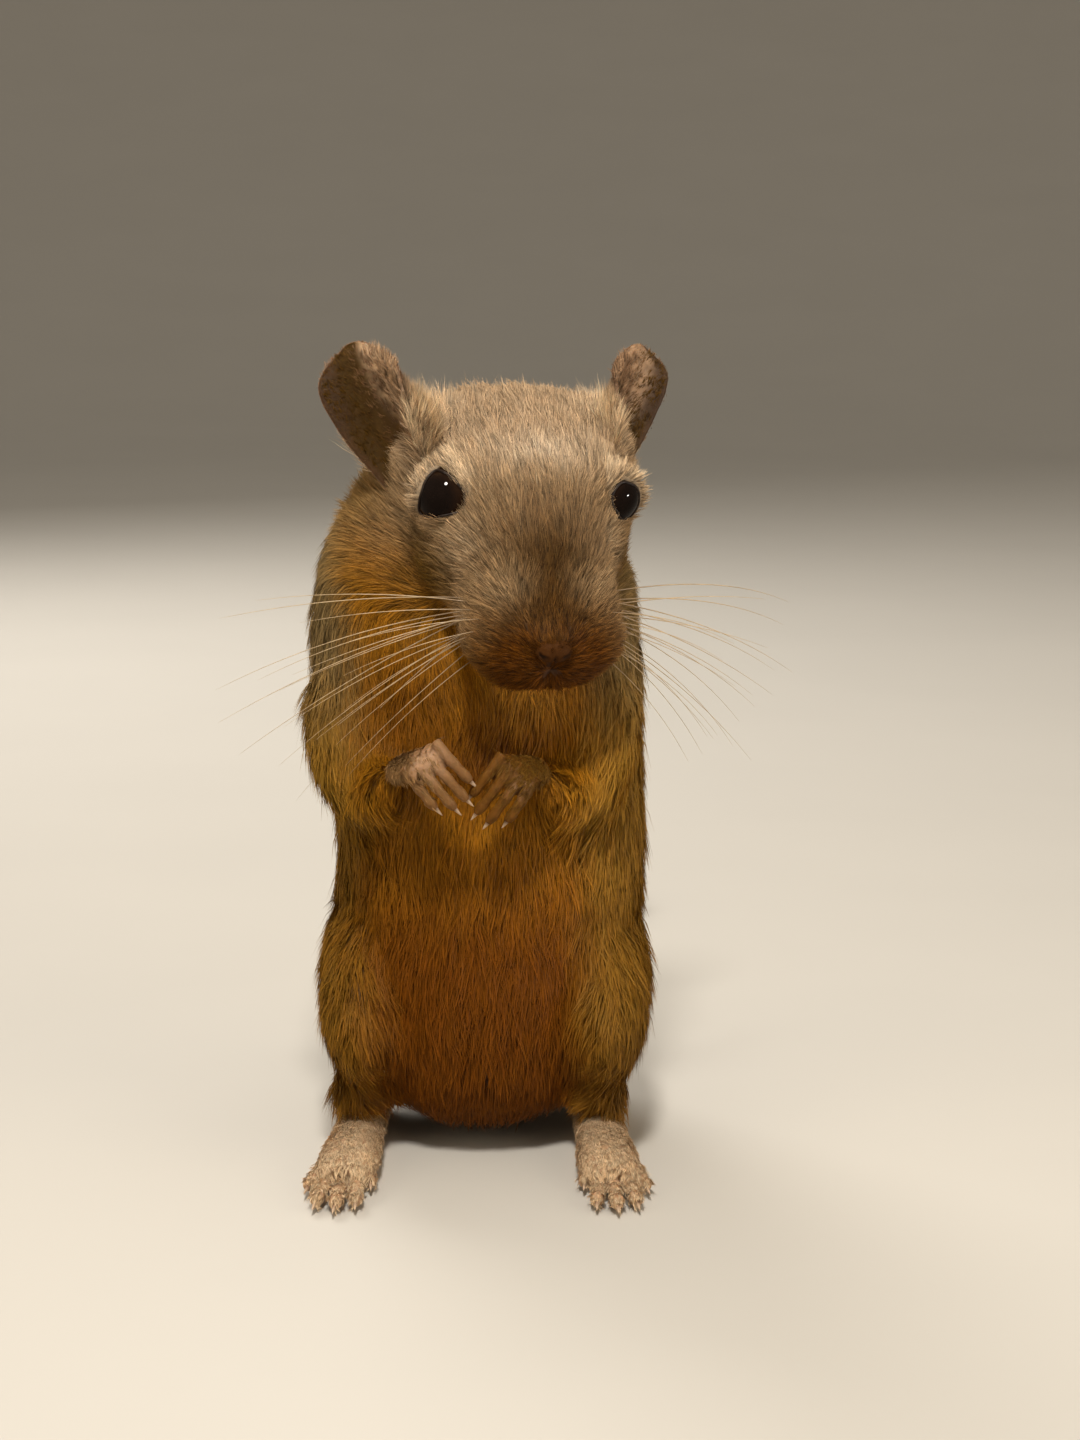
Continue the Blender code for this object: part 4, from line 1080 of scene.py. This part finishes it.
EAR_ROWS = (
    (-3.0, 4.2, 0.0, 2.9, -1.0),
    (0.0, 5.2, 0.0, 3.6, -0.4),
    (3.0, 6.2, 0.1, 4.3, 0.1),
    (5.8, 6.4, 0.5, 5.0, 0.5),
    (8.0, 6.3, 0.9, 5.6, 0.9),
    (9.8, 5.5, 1.3, 6.2, 1.4),
    (11.0, 4.2, 1.5, 6.8, 1.8),
    (11.7, 2.4, 1.5, 7.2, 2.1),
)
EAR_BASES = {"right": np.array((-11.2, 9.0, -0.6)), "left": np.array((9.4, 9.4, -2.2))}
EAR_STANDS = {"right": (-0.51, 0.35, 0.78), "left": (0.40, 0.42, 0.82)}
EAR_OPENS = {"right": (-0.60, -0.78, 0.0), "left": (0.76, -0.65, 0.0)}
EAR_WIDTHS = {"right": 0.96, "left": 0.86}
EAR_TALLS = {"right": 1.06, "left": 1.03}
EAR_RINGS = 44
EAR_ARC = 44
EAR_BACK = np.array((0.15, 0.085, 0.048))
EAR_HOLLOW = np.array((0.048, 0.023, 0.003))
# The inside wall of each ear with painted light on it, brighter on the right ear.
EAR_LIT_WALLS = {"right": np.array((0.42, 0.285, 0.175)), "left": np.array((0.25, 0.155, 0.090))}
EAR_RIM = np.array((0.070, 0.034, 0.016))
EAR_BASE = np.array((0.105, 0.053, 0.012))
EAR_TUFTS = 4200
# How much of each ear's lean is to the outside.
EAR_LEANS = {"right": 0.7, "left": 1.2}
# How far the outer edge of the top stands higher than the inner one, and where light is painted on the wall inside.
EAR_RISES = {"right": 0.7, "left": 1.3}
EAR_ROUND = 1.1
EAR_LIT = {"right": (-0.15, 0.3), "left": (-0.95, -0.5)}


def make_ear(side_name, side, finish):
    """A thin cup with a rolled rim and low folds inside; also gives what the fuzz needs."""
    rows = through(EAR_ROWS, EAR_RINGS)
    across = np.linspace(-1, 1, EAR_ARC + 1)
    height, half, lean, radius, back = (rows[:, k : k + 1] for k in range(5))
    phi = (across * half * EAR_WIDTHS[side_name] - side * lean * EAR_LEANS[side_name]) / radius
    rim = np.maximum(np.abs(across) ** 6, smoothstep(10.2, 11.7, height) ** 2)
    thick = 0.62 - 0.3 * rim
    folds = 0.2 * np.sin(across * 9 + height * 0.5) * smoothstep(10.5, 5.0, height) * (1 - across**2)
    ridges = np.sin(height * 3.4 + across * side * 5.0) * smoothstep(3.0, 5.5, height) * (1 - across**4)
    ridges = ridges * smoothstep(-0.2, 0.3, across * side)
    folds = folds + 0.09 * ridges
    grids = []
    for face in (-1, 1):
        wall = radius + face * thick / 2 + 0.15 * rim + (folds if face < 0 else 0)
        tall = height * EAR_TALLS[side_name]
        tall = tall - EAR_RISES[side_name] * across * side * smoothstep(2, 11, height)
        tall = tall - EAR_ROUND * across**2 * smoothstep(8.5, 11.7, height)
        grids.append(np.stack([wall * np.sin(phi), radius - wall * np.cos(phi) - back, tall], axis=-1))
    points = np.vstack([g.reshape(-1, 3) for g in grids])
    wide, count = EAR_ARC + 1, EAR_RINGS * (EAR_ARC + 1)
    faces = []
    for i in range(EAR_RINGS - 1):
        for j in range(EAR_ARC):
            a = i * wide + j
            quad = (a, a + 1, a + wide + 1, a + wide)
            faces.append(quad)
            faces.append(tuple(count + v for v in reversed(quad)))
    border = list(range(wide))
    border += [i * wide + EAR_ARC for i in range(1, EAR_RINGS)]
    border += [(EAR_RINGS - 1) * wide + j for j in range(EAR_ARC - 1, -1, -1)]
    border += [i * wide for i in range(EAR_RINGS - 2, 0, -1)]
    for a, b in zip(border, border[1:] + border[:1]):
        faces.append((b, a, count + a, count + b))
    up = unit(EAR_STANDS[side_name])
    opens = unit(np.array(EAR_OPENS[side_name]) - np.array(EAR_OPENS[side_name]) @ up * up)
    axes = np.stack([np.cross(opens, up), opens, up], 1)
    points = head_to_body(points @ axes.T + EAR_BASES[side_name])
    name = "ear_cup_" + side_name
    mesh = outward(mesh_of(name, points, faces))
    inner = np.concatenate([np.ones(count), np.zeros(count)])
    across_all = np.tile(np.tile(across, EAR_RINGS), 2)
    medial = across_all * side
    high = np.tile(np.repeat(rows[:, 0], wide), 2)
    rim_all = np.tile(np.broadcast_to(rim, phi.shape).ravel(), 2)
    colour = np.tile(EAR_BACK, (len(points), 1))
    furred = (1 - inner) * smoothstep(0.0, 0.7, medial) * smoothstep(9.0, 4.0, high)
    colour = blend(colour, BROW * 0.7, furred)
    # The cup's inside is dark: partly the ear's own skin, partly painted shade in the hollow.
    colour = blend(colour, EAR_HOLLOW, inner)
    colour = blend(colour, EAR_BASE, inner * smoothstep(6.0, 1.0, high) * smoothstep(-0.6, 0.2, medial))
    streaks = np.tile(ridges.ravel(), 2)
    # Painted light on the inside wall, with streaks along its ridges.
    wall = EAR_LIT_WALLS[side_name] * (1 + 0.4 * streaks + 0.2 * ripple(points, 1.3, 26))[:, None]
    lit = smoothstep(*EAR_LIT[side_name], medial) * smoothstep(2.0, 5.5, high + 2 * medial)
    colour = colour + (wall - colour) * (inner * lit)[:, None]
    # Darker inside along both rims, and painted shade on the inside's outer half.
    colour = blend(colour, EAR_RIM, inner * smoothstep(0.80, 1.0, np.abs(medial)) * 0.7)
    lateral = smoothstep(0.45, 0.8, -medial) * smoothstep(3.0, 6.0, high)
    colour = blend(colour, EAR_RIM * 0.6, inner * lateral * 0.7)
    paint(mesh, colour)
    obj = shown(name, mesh, finish)
    unwrap(obj)
    facts = {"inner": inner, "medial": medial, "high": high, "rim": rim_all, "across": across_all}
    facts["axes"] = HEAD_AXES @ axes
    return obj, facts


def ear_fuzz(side_name, obj, facts, finish):
    """Short hair on the back of the ear and round its rim, and longer, thinner fuzz inside."""
    mesh = obj.data
    normals = read(mesh, "vertices", "normal")
    sideways, opens, up = facts["axes"].T
    lie = up + 0.35 * np.sign(facts["across"])[:, None] * sideways * facts["inner"][:, None]
    lie = lie - (lie * normals).sum(1, keepdims=True) * normals
    inner, rim, medial = facts["inner"], facts["rim"], facts["medial"]
    lower = smoothstep(6.0, 0.0, facts["high"])
    edge = smoothstep(0.86, 1.0, np.abs(facts["across"])) + smoothstep(10.6, 11.7, facts["high"])
    length = 0.7 + 0.7 * inner * smoothstep(-0.2, 0.6, medial) + 1.6 * lower * (1 - inner)
    fringe = lower * (1 - inner) * smoothstep(-0.2, -0.8, medial)
    beside = (1 - inner) * smoothstep(0.0, 0.7, medial) * smoothstep(9.0, 4.0, facts["high"])
    length += 1.6 * fringe + 2.0 * beside
    length *= 1 - 0.8 * np.clip(edge, 0, 1) * (1 - beside)
    density = 1.0 - inner * 0.7 + 0.6 * inner * smoothstep(0.0, 0.7, medial)
    density *= smoothstep(-1.5, 1.0, facts["high"]) * (1 - 0.7 * np.clip(edge, 0, 1))
    density += 1.5 * beside
    colour = np.tile(EAR_BACK * 1.5, (len(normals), 1))
    # Fuzz on the inside wall takes its painted light, fuzz in the hollow its painted shade.
    colour = blend(colour, EAR_LIT_WALLS[side_name] * 1.2, inner * smoothstep(0.0, 0.7, medial))
    colour = blend(colour, EAR_HOLLOW * 1.6, inner * smoothstep(0.2, -0.5, medial))
    colour = blend(colour, CROWN, lower * (1 - inner))
    colour = blend(colour, BROW, fringe)
    colour = blend(colour, BROW * 1.15, beside)
    part = np.full(len(normals), PART_NAMES.index("crown"))
    bed = bed_of(mesh, lie, colour, length, density, part)
    draw = np.random.default_rng(SEED + 5)
    tufts = grow_tufts(bed, EAR_TUFTS, draw)
    name = "ear_fuzz_" + side_name
    lift = 0.10 + 0.14 * tufts["length"]
    made = blade_mesh(name, *blades_of(tufts, draw, lift, 0.06, 0.2))
    return shown(name, made, finish)


# Paws

HANDS = {
    "right": {"wrist": (-7.7, -18.8, 46.0), "knuckles": (-5.1, -22.2, 47.2), "tips": (-1.6, -23.6, 43.0)},
    "left": {"wrist": (6.1, -18.8, 45.8), "knuckles": (3.9, -21.4, 45.8), "tips": (1.2, -22.4, 42.0)},
}
FINGER_LENGTHS = (4.0, 4.8, 4.7, 3.9)
FINGER_RADIUS = 0.60
FINGER_SPREAD = 0.03
FINGERS_HALF = 2.2
CLAW_RADIUS = 0.26
CLAW_SIDES = 10
CLAW_ROOT = np.array((0.20, 0.105, 0.060))
CLAW_TIP = np.array((0.50, 0.370, 0.260))
CLAW_LENGTH = 1.4
PALM_HALF = 2.3
TOE_LENGTHS = (3.6, 6.4, 7.0, 6.4, 4.0)
TOE_ROOTS = ((-2.7, 3.4), (-1.6, 0.4), (0.0, 0.0), (1.6, 0.4), (2.8, 2.6))
TOE_RADIUS = 0.80
TOE_CLAW = 2.3
FOOT_ROWS = (
    (12.9, 9.6, 2.2, 1.9, 1.8, 2.3),
    (13.0, 7.0, 2.3, 2.6, 2.6, 2.6),
    (13.2, 0.0, 2.2, 2.7, 2.4, 2.6),
    (13.6, -8.0, 2.0, 2.8, 2.2, 2.4),
    (14.0, -15.0, 1.9, 3.3, 2.0, 2.3),
    (14.3, -19.0, 1.6, 3.1, 1.7, 2.0),
    (14.5, -21.0, 1.4, 2.2, 1.2, 1.7),
)


def digit(root, way, down, length, radius, claw):
    """A finger or toe with its joints and pad, and its claw as a shape of its own."""
    root, way, down = (np.asarray(v, float) for v in (root, way, down))
    shares = np.array((-0.35, 0.0, 0.2, 0.36, 0.5, 0.66, 0.82, 1.0))
    thick = np.array((1.0, 0.96, 0.9, 1.02, 0.9, 0.88, 1.02, 0.7))
    bone = [(*(root + way * length * s + down * length * 0.28 * max(s, 0) ** 2), radius * t) for s, t in zip(shares, thick)]
    across = np.cross(way, down)
    finger = tube(round_rows(bone), 14, 30, across)
    tip = np.array(bone[-1][:3]) - way * 0.5
    hook = ((0, 0, 1.0), (0.3, 0.04, 0.95), (0.55, 0.16, 0.75), (0.8, 0.34, 0.45), (1.0, 0.6, 0.12))
    nail = [(*(tip + way * claw * a + down * claw * b), CLAW_RADIUS * r) for a, b, r in hook]
    return finger, tube(round_rows(nail), CLAW_SIDES, 14, across)


def hand_shapes(side_name):
    wrist, knuckles, tips = (np.array(HANDS[side_name][key]) for key in ("wrist", "knuckles", "tips"))
    way = unit(tips - knuckles)
    across = unit(np.cross(way, (0, -1, 0)))
    palm_side = np.cross(across, way)
    palm_side *= math.copysign(1, palm_side[1])
    rows = [
        (*(wrist + (knuckles - wrist) * -0.3), 1.4, 1.2, 1.2),
        (*(wrist + (knuckles - wrist) * 0.2), 1.8, 1.3, 1.3),
        (*(wrist + (knuckles - wrist) * 0.7), PALM_HALF, 1.3, 1.3),
        (*(knuckles + palm_side * 0.3), PALM_HALF, 1.0, 1.0),
        (*(knuckles + way * 1.4 + palm_side * 0.7), 1.9, 0.7, 0.7),
    ]
    flesh, claws = [tube(rows, 24, 20, across)], []
    for k, length in enumerate(FINGER_LENGTHS):
        off = (k - 1.5) / 1.5
        root = knuckles + across * off * FINGERS_HALF + way * (0.7 - 0.5 * off * off)
        spread = unit(way + across * off * FINGER_SPREAD)
        finger, claw = digit(root, spread, palm_side, length, FINGER_RADIUS, CLAW_LENGTH)
        flesh.append(finger)
        claws.append(claw)
    return flesh, claws


def foot_shapes(side):
    rows = [(x * side, *rest) for x, *rest in FOOT_ROWS]
    flesh, claws = [tube(rows, 28, 40)], []
    end = np.array(rows[-1][:3])
    for length, (over, behind) in zip(TOE_LENGTHS, TOE_ROOTS):
        root = end + (over * side, behind + 0.8, -0.2)
        way = unit(((0.05 + over * 0.05) * side, -1, 0))
        toe, claw = digit(root, way, (0, 0, -0.12), length, TOE_RADIUS, TOE_CLAW)
        flesh.append(toe)
        claws.append(claw)
    return flesh, claws


# Each hand's skin and hair colours; the left hand's are darker, painted shade where it lies out of the light.
PAW_PINKS_LIT_AND_SHADED = {"right": np.array((0.16, 0.078, 0.026)), "left": np.array((0.115, 0.046, 0.006))}
PAW_CREASE_SHADE = np.array((0.030, 0.007, 0.002))
PAW_HIGHLIGHT = np.array((0.42, 0.260, 0.160))
PAW_HAIRS_LIT_AND_SHADED = {"right": np.array((0.25, 0.140, 0.055)), "left": np.array((0.130, 0.060, 0.008))}
# Where a highlight is painted on the knuckles: (place, reach, share).
PAW_LIT = (((-5.1, -23.2, 47.7), 2.0, 0.8), ((4.6, -22.8, 44.6), 1.1, 0.6))
SOLE_PINK = np.array((0.42, 0.270, 0.160))
SOLE_HAIR = np.array((0.66, 0.490, 0.310))


def make_paw(name, shapes, voxel, tint, finish, claw_finish, floor=False):
    """Fuses the palm or sole with its digits, wrinkles the skin, and sets the claws."""
    flesh, claws = shapes
    mesh = remeshed(outward(mesh_of(name, *all_in_one(flesh))), voxel)
    keep_largest(mesh)
    points = unplaced(read(mesh, "vertices", "co"))
    edges = edges_of(mesh)
    points = relaxed(points, edges, len(points), 3)
    write(mesh, points)
    normals = read(mesh, "vertices", "normal")
    folds = ripple(points, 0.9, 21) * 0.5 + ripple(points, 0.45, 22) * 0.3
    points = points + normals * (0.02 * folds)[:, None]
    if floor:
        points[:, 2] = np.maximum(points[:, 2], 0.02)
    write(mesh, points)
    hollow = relaxed(points, edges, len(points), 8) - points
    crease = smoothstep(0.0, 0.06, (hollow * normals).sum(1))
    colour = np.tile(tint, (len(points), 1)) * (1 + 0.06 * ripple(points, 2.0, 23)[:, None])
    # Painted highlight on the knuckles of the hands.
    if not floor:
        for place, reach, share in PAW_LIT:
            colour = blend(colour, PAW_HIGHLIGHT, share * near(points, place, reach))
    # Painted shade in the creases and between the digits, fainter on the soles.
    colour = blend(colour, PAW_CREASE_SHADE, crease * (0.45 if floor else 1.0))
    paint(mesh, colour)
    paw = shown(name, mesh, finish)
    claw_name = name + "_claws"
    claw_mesh = outward(mesh_of(claw_name, *all_in_one(claws)))
    share = along_each(claws, CLAW_SIDES)
    paint(claw_mesh, blend(np.tile(CLAW_ROOT, (len(share), 1)), CLAW_TIP, smoothstep(0.1, 0.8, share)))
    return paw, shown(claw_name, claw_mesh, claw_finish)


def paw_fuzz(name, obj, lie_way, back_way, middle, count, tint, length, finish):
    """Fine short hair on the back of a paw, thinner away from its middle."""
    mesh = obj.data
    unwrap(obj)
    points, normals = unplaced(read(mesh, "vertices", "co")), read(mesh, "vertices", "normal")
    lie = np.tile(unit(lie_way), (len(points), 1))
    lie = lie - (lie * normals).sum(1, keepdims=True) * normals
    facing = smoothstep(-0.2, 0.5, normals @ unit(back_way)) * near(points, *middle)
    colour = np.tile(tint, (len(points), 1))
    part = np.full(len(points), PART_NAMES.index("arms"))
    bed = bed_of(mesh, lie, colour, np.full(len(points), length), facing, part)
    draw = np.random.default_rng(SEED + 9)
    tufts = grow_tufts(bed, count, draw)
    made = blade_mesh(name, *blades_of(tufts, draw, 0.14, 0.065, 0.12, 0.15, 0.5))
    return shown(name, made, finish)


# The end of the tail

TAIL_ROWS = (
    (0.0, 20.0, 13.5, 5.2),
    (0.1, 26.0, 10.4, 4.8),
    (0.3, 32.0, 6.8, 4.1),
    (0.6, 39.0, 4.2, 3.5),
    (1.2, 48.0, 3.2, 3.2),
    (2.4, 58.0, 2.95, 3.0),
    (4.0, 68.0, 2.8, 2.85),
    (6.2, 77.8, 2.7, 2.75),
    (8.9, 87.0, 2.55, 2.6),
    (12.0, 95.6, 2.4, 2.4),
    (14.8, 102.8, 2.1, 1.9),
    (16.4, 106.6, 1.8, 1.1),
)
BRUSH_FROM = 6.9


def make_tail_end(finish):
    """The core under the brush."""
    rows = through(TAIL_ROWS, 221)
    start = int(BRUSH_FROM / (len(TAIL_ROWS) - 1) * 220)
    rows = rows[start:].copy()
    rows[:, 3] *= np.linspace(0.62, 0.5, len(rows))
    rows = np.column_stack([rows, rows[:, 3], rows[:, 3]])
    points, faces = skin_of(rings_along(rows, np.array((1, 0, 0)), 24))
    mesh = outward(mesh_of("tail_end", points, faces))
    paint(mesh, coat_colour(points) * 0.7)
    obj = shown("tail_end", mesh, finish)
    unwrap(obj)
    return obj


def make_brush(core, finish):
    """The long dark hair at the end of the tail."""
    mesh = core.data
    points, normals = unplaced(read(mesh, "vertices", "co")), read(mesh, "vertices", "normal")
    route = through(TAIL_ROWS, 221)[:, :3]
    nearest = np.argmin(((points[:, None] - route[None, ::4]) ** 2).sum(-1), axis=1)
    run = unit(np.gradient(route, axis=0)[::4][nearest])
    lie = unit(run - (run * normals).sum(1, keepdims=True) * normals)
    along = smoothstep(72, 106, points[:, 1])
    length = 2.0 + 6.0 * along
    part = np.full(len(points), PART_NAMES.index("tail"))
    facing = (normals * run).sum(1)
    density = (smoothstep(0.8, 0.4, np.abs(facing)) + 0.05) * (facing > -0.4)
    bed = bed_of(mesh, lie, coat_colour(points), length, density, part)
    draw = np.random.default_rng(SEED + 13)
    tufts = grow_tufts(bed, 4200, draw)
    lift = 0.14 + 0.12 * smoothstep(70, 90, tufts["points"][:, 1])
    made = blades_of(tufts, draw, lift, 0.12, 0.3, bend=0.10)
    return shown("tail_brush_hair", blade_mesh("tail_brush_hair", *made), finish)


# Whiskers

WHISKER_SIDES = 4
WHISKER_STEPS = 16
WHISKER_ROWS = 5
WHISKERS_PER_ROW = 4
WHISKER_ROOT_RADIUS = 0.034
WHISKER_ROOT = np.array((0.200, 0.130, 0.070))
WHISKER_TIP = np.array((0.50, 0.37, 0.22))
# How far the rows reach past the solids' first and last.
WHISKER_LOWS = (-0.05, 1.2)


def make_whiskers(side_name, side, skin, finish):
    """Long stiff hairs in rows on each side of the muzzle, that sweep out, back and down."""
    tree = BVHTree.FromObject(skin, bpy.context.evaluated_depsgraph_get())
    draw = np.random.default_rng(SEED + 30 + side)
    shapes = []
    for row in range(WHISKER_ROWS):
        for k in range(WHISKERS_PER_ROW):
            back = (k + 1) / WHISKERS_PER_ROW
            low = np.interp(row + 0.25 * k, (0, WHISKER_ROWS - 0.25), WHISKER_LOWS)
            start, way, length = whisker_rule(side, back, low)
            hit = tree.find_nearest(Vector(placed(head_to_body(start + draw.normal(size=3) * 0.3))))
            way = unit(way + draw.normal(size=3) * 0.06)
            length *= draw.uniform(0.95, 1.12)
            t = np.linspace(0, 1, WHISKER_STEPS)[:, None]
            path = length * (way * t + WHISKER_DROOP * (side, 1, 1) * draw.uniform(0.6, 1.3) * t * t)
            path = unplaced(np.array(hit[0])) + path @ HEAD_AXES.T
            radius = (WHISKER_ROOT_RADIUS + 0.022 * back) * (1 - t) ** 0.7 + 0.01
            rows = np.column_stack([path, radius, radius, radius])
            shapes.append(skin_of(rings_along(rows, np.array((0, 0.3, 1)), WHISKER_SIDES)))
    name = "whiskers_" + side_name
    mesh = outward(mesh_of(name, *all_in_one(shapes)))
    share = along_each(shapes, WHISKER_SIDES)
    paint(mesh, blend(np.tile(WHISKER_ROOT, (len(share), 1)), WHISKER_TIP, smoothstep(0.0, 0.35, share)))
    return shown(name, mesh, finish)


# Floor, light and camera

CAMERA_PLACE = np.array((6.7, -312.5, 103.0))
CAMERA_DROP = math.radians(10)
LENS_PIXELS = 2850
PHOTO_HEIGHT = 1440
SENSOR = 36.0


def make_camera():
    data = bpy.data.cameras.new("camera")
    data.sensor_width = SENSOR
    data.lens = LENS_PIXELS / PHOTO_HEIGHT * SENSOR
    data.clip_start = 0.01
    data.clip_end = 20
    camera = bpy.data.objects.new("camera", data)
    camera.location = placed(CAMERA_PLACE)
    camera.rotation_euler = (math.radians(90) - CAMERA_DROP, 0, 0)
    bpy.context.scene.collection.objects.link(camera)
    bpy.context.scene.camera = camera


FLOOR_TINT = (0.50, 0.48, 0.445)
FLOOR_STEPS = 96


def make_floor():
    """A pale floor that curves up all round, far from the animal, into a low backdrop."""
    flat, bend, top = 0.9, 0.8, 1.0
    profile = [(0.3, 0.0), (flat, 0.0)]
    for k in range(1, 13):
        angle = math.pi / 2 * k / 12
        profile.append((flat + bend * math.sin(angle), bend * (1 - math.cos(angle))))
    profile.append((flat + bend, top))
    turns = [2 * math.pi * k / FLOOR_STEPS for k in range(FLOOR_STEPS)]
    points = [(r * math.cos(a), r * math.sin(a), z) for r, z in profile for a in turns]
    faces = [tuple(range(FLOOR_STEPS))]
    for i in range(len(profile) - 1):
        for j in range(FLOOR_STEPS):
            a, b = i * FLOOR_STEPS + j, i * FLOOR_STEPS + (j + 1) % FLOOR_STEPS
            faces.append((a, a + FLOOR_STEPS, b + FLOOR_STEPS, b))
    mesh = bpy.data.meshes.new("floor")
    mesh.from_pydata(points, [], faces)
    mesh.shade_smooth()
    made, tree, shader = new_material("floor_paper")
    noise = node(tree, "ShaderNodeTexNoise", {"Scale": 60.0, "Detail": 4.0})
    ramp = node(tree, "ShaderNodeMapRange", {"To Min": 0.97, "To Max": 1.03})
    tint = node(tree, "ShaderNodeVectorMath", operation="SCALE")
    tint.inputs[0].default_value = FLOOR_TINT
    tree.links.new(noise.outputs["Fac"], ramp.inputs["Value"])
    tree.links.new(ramp.outputs["Result"], tint.inputs["Scale"])
    tree.links.new(tint.outputs["Vector"], shader.inputs["Base Color"])
    shader.inputs["Roughness"].default_value = 0.9
    floor = shown("floor", mesh, made)
    floor.visible_glossy = False


def make_light(name, place, aim, size, power, colour, mirrored=True):
    """A round lamp of the given width in metres; it shows in glossy things only if it is mirrored."""
    data = bpy.data.lights.new(name, "AREA")
    data.shape = "DISK"
    data.size = size
    data.energy = power
    data.color = colour
    light = bpy.data.objects.new(name, data)
    light.location = placed(place)
    way = Vector(placed(aim)) - Vector(placed(place))
    light.rotation_euler = way.to_track_quat("-Z", "Y").to_euler()
    light.visible_glossy = mirrored
    bpy.context.scene.collection.objects.link(light)
    return light


def make_lights():
    world = bpy.data.worlds.new("studio")
    world.use_nodes = True
    world.node_tree.nodes["Background"].inputs["Color"].default_value = (1.0, 0.88, 0.70, 1)
    world.node_tree.nodes["Background"].inputs["Strength"].default_value = 0.20
    bpy.context.scene.world = world
    make_light("key", (-10, -300, 440), (4, -10, 70), 0.07, 2.5, (1.0, 0.94, 0.85))
    make_light("fill", (-380, -300, 160), (0, 0, 50), 0.5, 0.9, (1.0, 0.84, 0.62), mirrored=False)
    make_light("fill_right", (420, -220, 160), (0, 0, 50), 0.5, 1.3, (1.0, 0.84, 0.62), mirrored=False)
    make_light("sky", (0, 0, 1500), (0, 0, 0), 1.2, 5.0, (1.0, 0.93, 0.84), mirrored=False)
    make_light("rim", (-200, 420, 380), (0, 0, 60), 0.3, 2.4, (1.0, 0.95, 0.88), mirrored=False)
    glint = make_light("glint", (430, -190, 70), (14, -15, 75), 0.018, 0.8, (1.0, 0.97, 0.92))
    glint.visible_diffuse = False
    bpy.context.scene.view_settings.view_transform = "Standard"


def main():
    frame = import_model()
    global SHIFT
    SHIFT = find_shift()
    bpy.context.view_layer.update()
    nodes = frame["nodes"]
    coat = tinted_material("coat", 0.55, ((700.0, 0.12),), gloss=0.10)
    under = tinted_material("under_coat", 0.8, ((900.0, 0.25),), 0.6)
    ear_skin = tinted_material("ear_skin", 0.6, ((1500.0, 0.15),), 0.5, 0.2, 0.2)
    paw_skin = tinted_material("paw_skin", 0.5, ((2500.0, 0.12),), 0.5, 0.3, 0.12)
    nose_skin = tinted_material("nose_skin", 0.6, ((4000.0, 0.1),), 0.4, 0.0, 0.04)
    wet_black = tinted_material("eye_black", 0.02, ((600.0, 0.2),), gloss=EYE_GLOSS)
    lid_skin = tinted_material("lid_skin", 0.5, ((3000.0, 0.25),), 0.4, gloss=0.3)
    horn = tinted_material("claw_horn", 0.3, ((1800.0, 0.15),), 0.2)
    whisker = tinted_material("whisker", 0.35, ((900.0, 0.15),))

    made = []
    skin = make_skin(nodes, under)
    unwrap(skin)
    mesh = skin.data
    points, normals = unplaced(read(mesh, "vertices", "co")), read(mesh, "vertices", "normal")
    colour = coat_colour(points)
    paint(mesh, colour * SKIN_SHADE)
    edges = edges_of(mesh)
    lie = relaxed(lie_of_coat(points, normals), edges, len(points), 12)
    lie = unit(lie - (lie * normals).sum(1, keepdims=True) * normals)
    length = clear_of_eyes(points, lie, coat_length(points))
    bed = bed_of(mesh, lie, colour, length, coat_density(points), part_of(points))
    count = TUFTS
    made += make_coat(bed, count, coat)
    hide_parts(*FLESH)
    made.append(skin)

    for side_name, side in SIDES:
        eye = make_eye(side_name, side, wet_black)
        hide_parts("eye_" + side_name)
        made += [eye, make_lids(side_name, side, lid_skin)]
        ear, facts = make_ear(side_name, side, ear_skin)
        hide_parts("ear_" + side_name)
        made += [ear, ear_fuzz(side_name, ear, facts, coat)]
        hand, nails = make_paw("paw_" + side_name, hand_shapes(side_name), 0.12, PAW_PINKS_LIT_AND_SHADED[side_name], paw_skin, horn)
        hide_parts("hand_" + side_name)
        spots = HANDS[side_name]
        way = np.array(spots["tips"]) - np.array(spots["knuckles"])
        middle = (spots["wrist"], 3.0)
        fuzz = paw_fuzz("paw_fuzz_" + side_name, hand, way, (0, -1, 0.5), middle, 600, PAW_HAIRS_LIT_AND_SHADED[side_name], 0.85, coat)
        made += [hand, nails, fuzz]
        foot, nails = make_paw("sole_" + side_name, foot_shapes(side), 0.22, SOLE_PINK, paw_skin, horn, floor=True)
        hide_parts("foot_" + side_name)
        middle = ((13.5 * side, -8, 3), (20, 26, 20))
        fuzz = paw_fuzz("sole_fuzz_" + side_name, foot, (0, -1, -0.1), (0, -0.2, 1), middle, 4000, SOLE_HAIR, 1.2, coat)
        made += [foot, nails, fuzz]
        made.append(make_whiskers(side_name, side, skin, whisker))
    nose = make_nose(nose_skin)
    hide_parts("nose")
    tail_end = make_tail_end(under)
    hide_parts("tail_brush")
    made += [nose, tail_end, make_brush(tail_end, coat)]
    for piece in made:
        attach(piece, "root")

    make_floor()
    make_lights()
    make_camera()
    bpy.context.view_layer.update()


main()
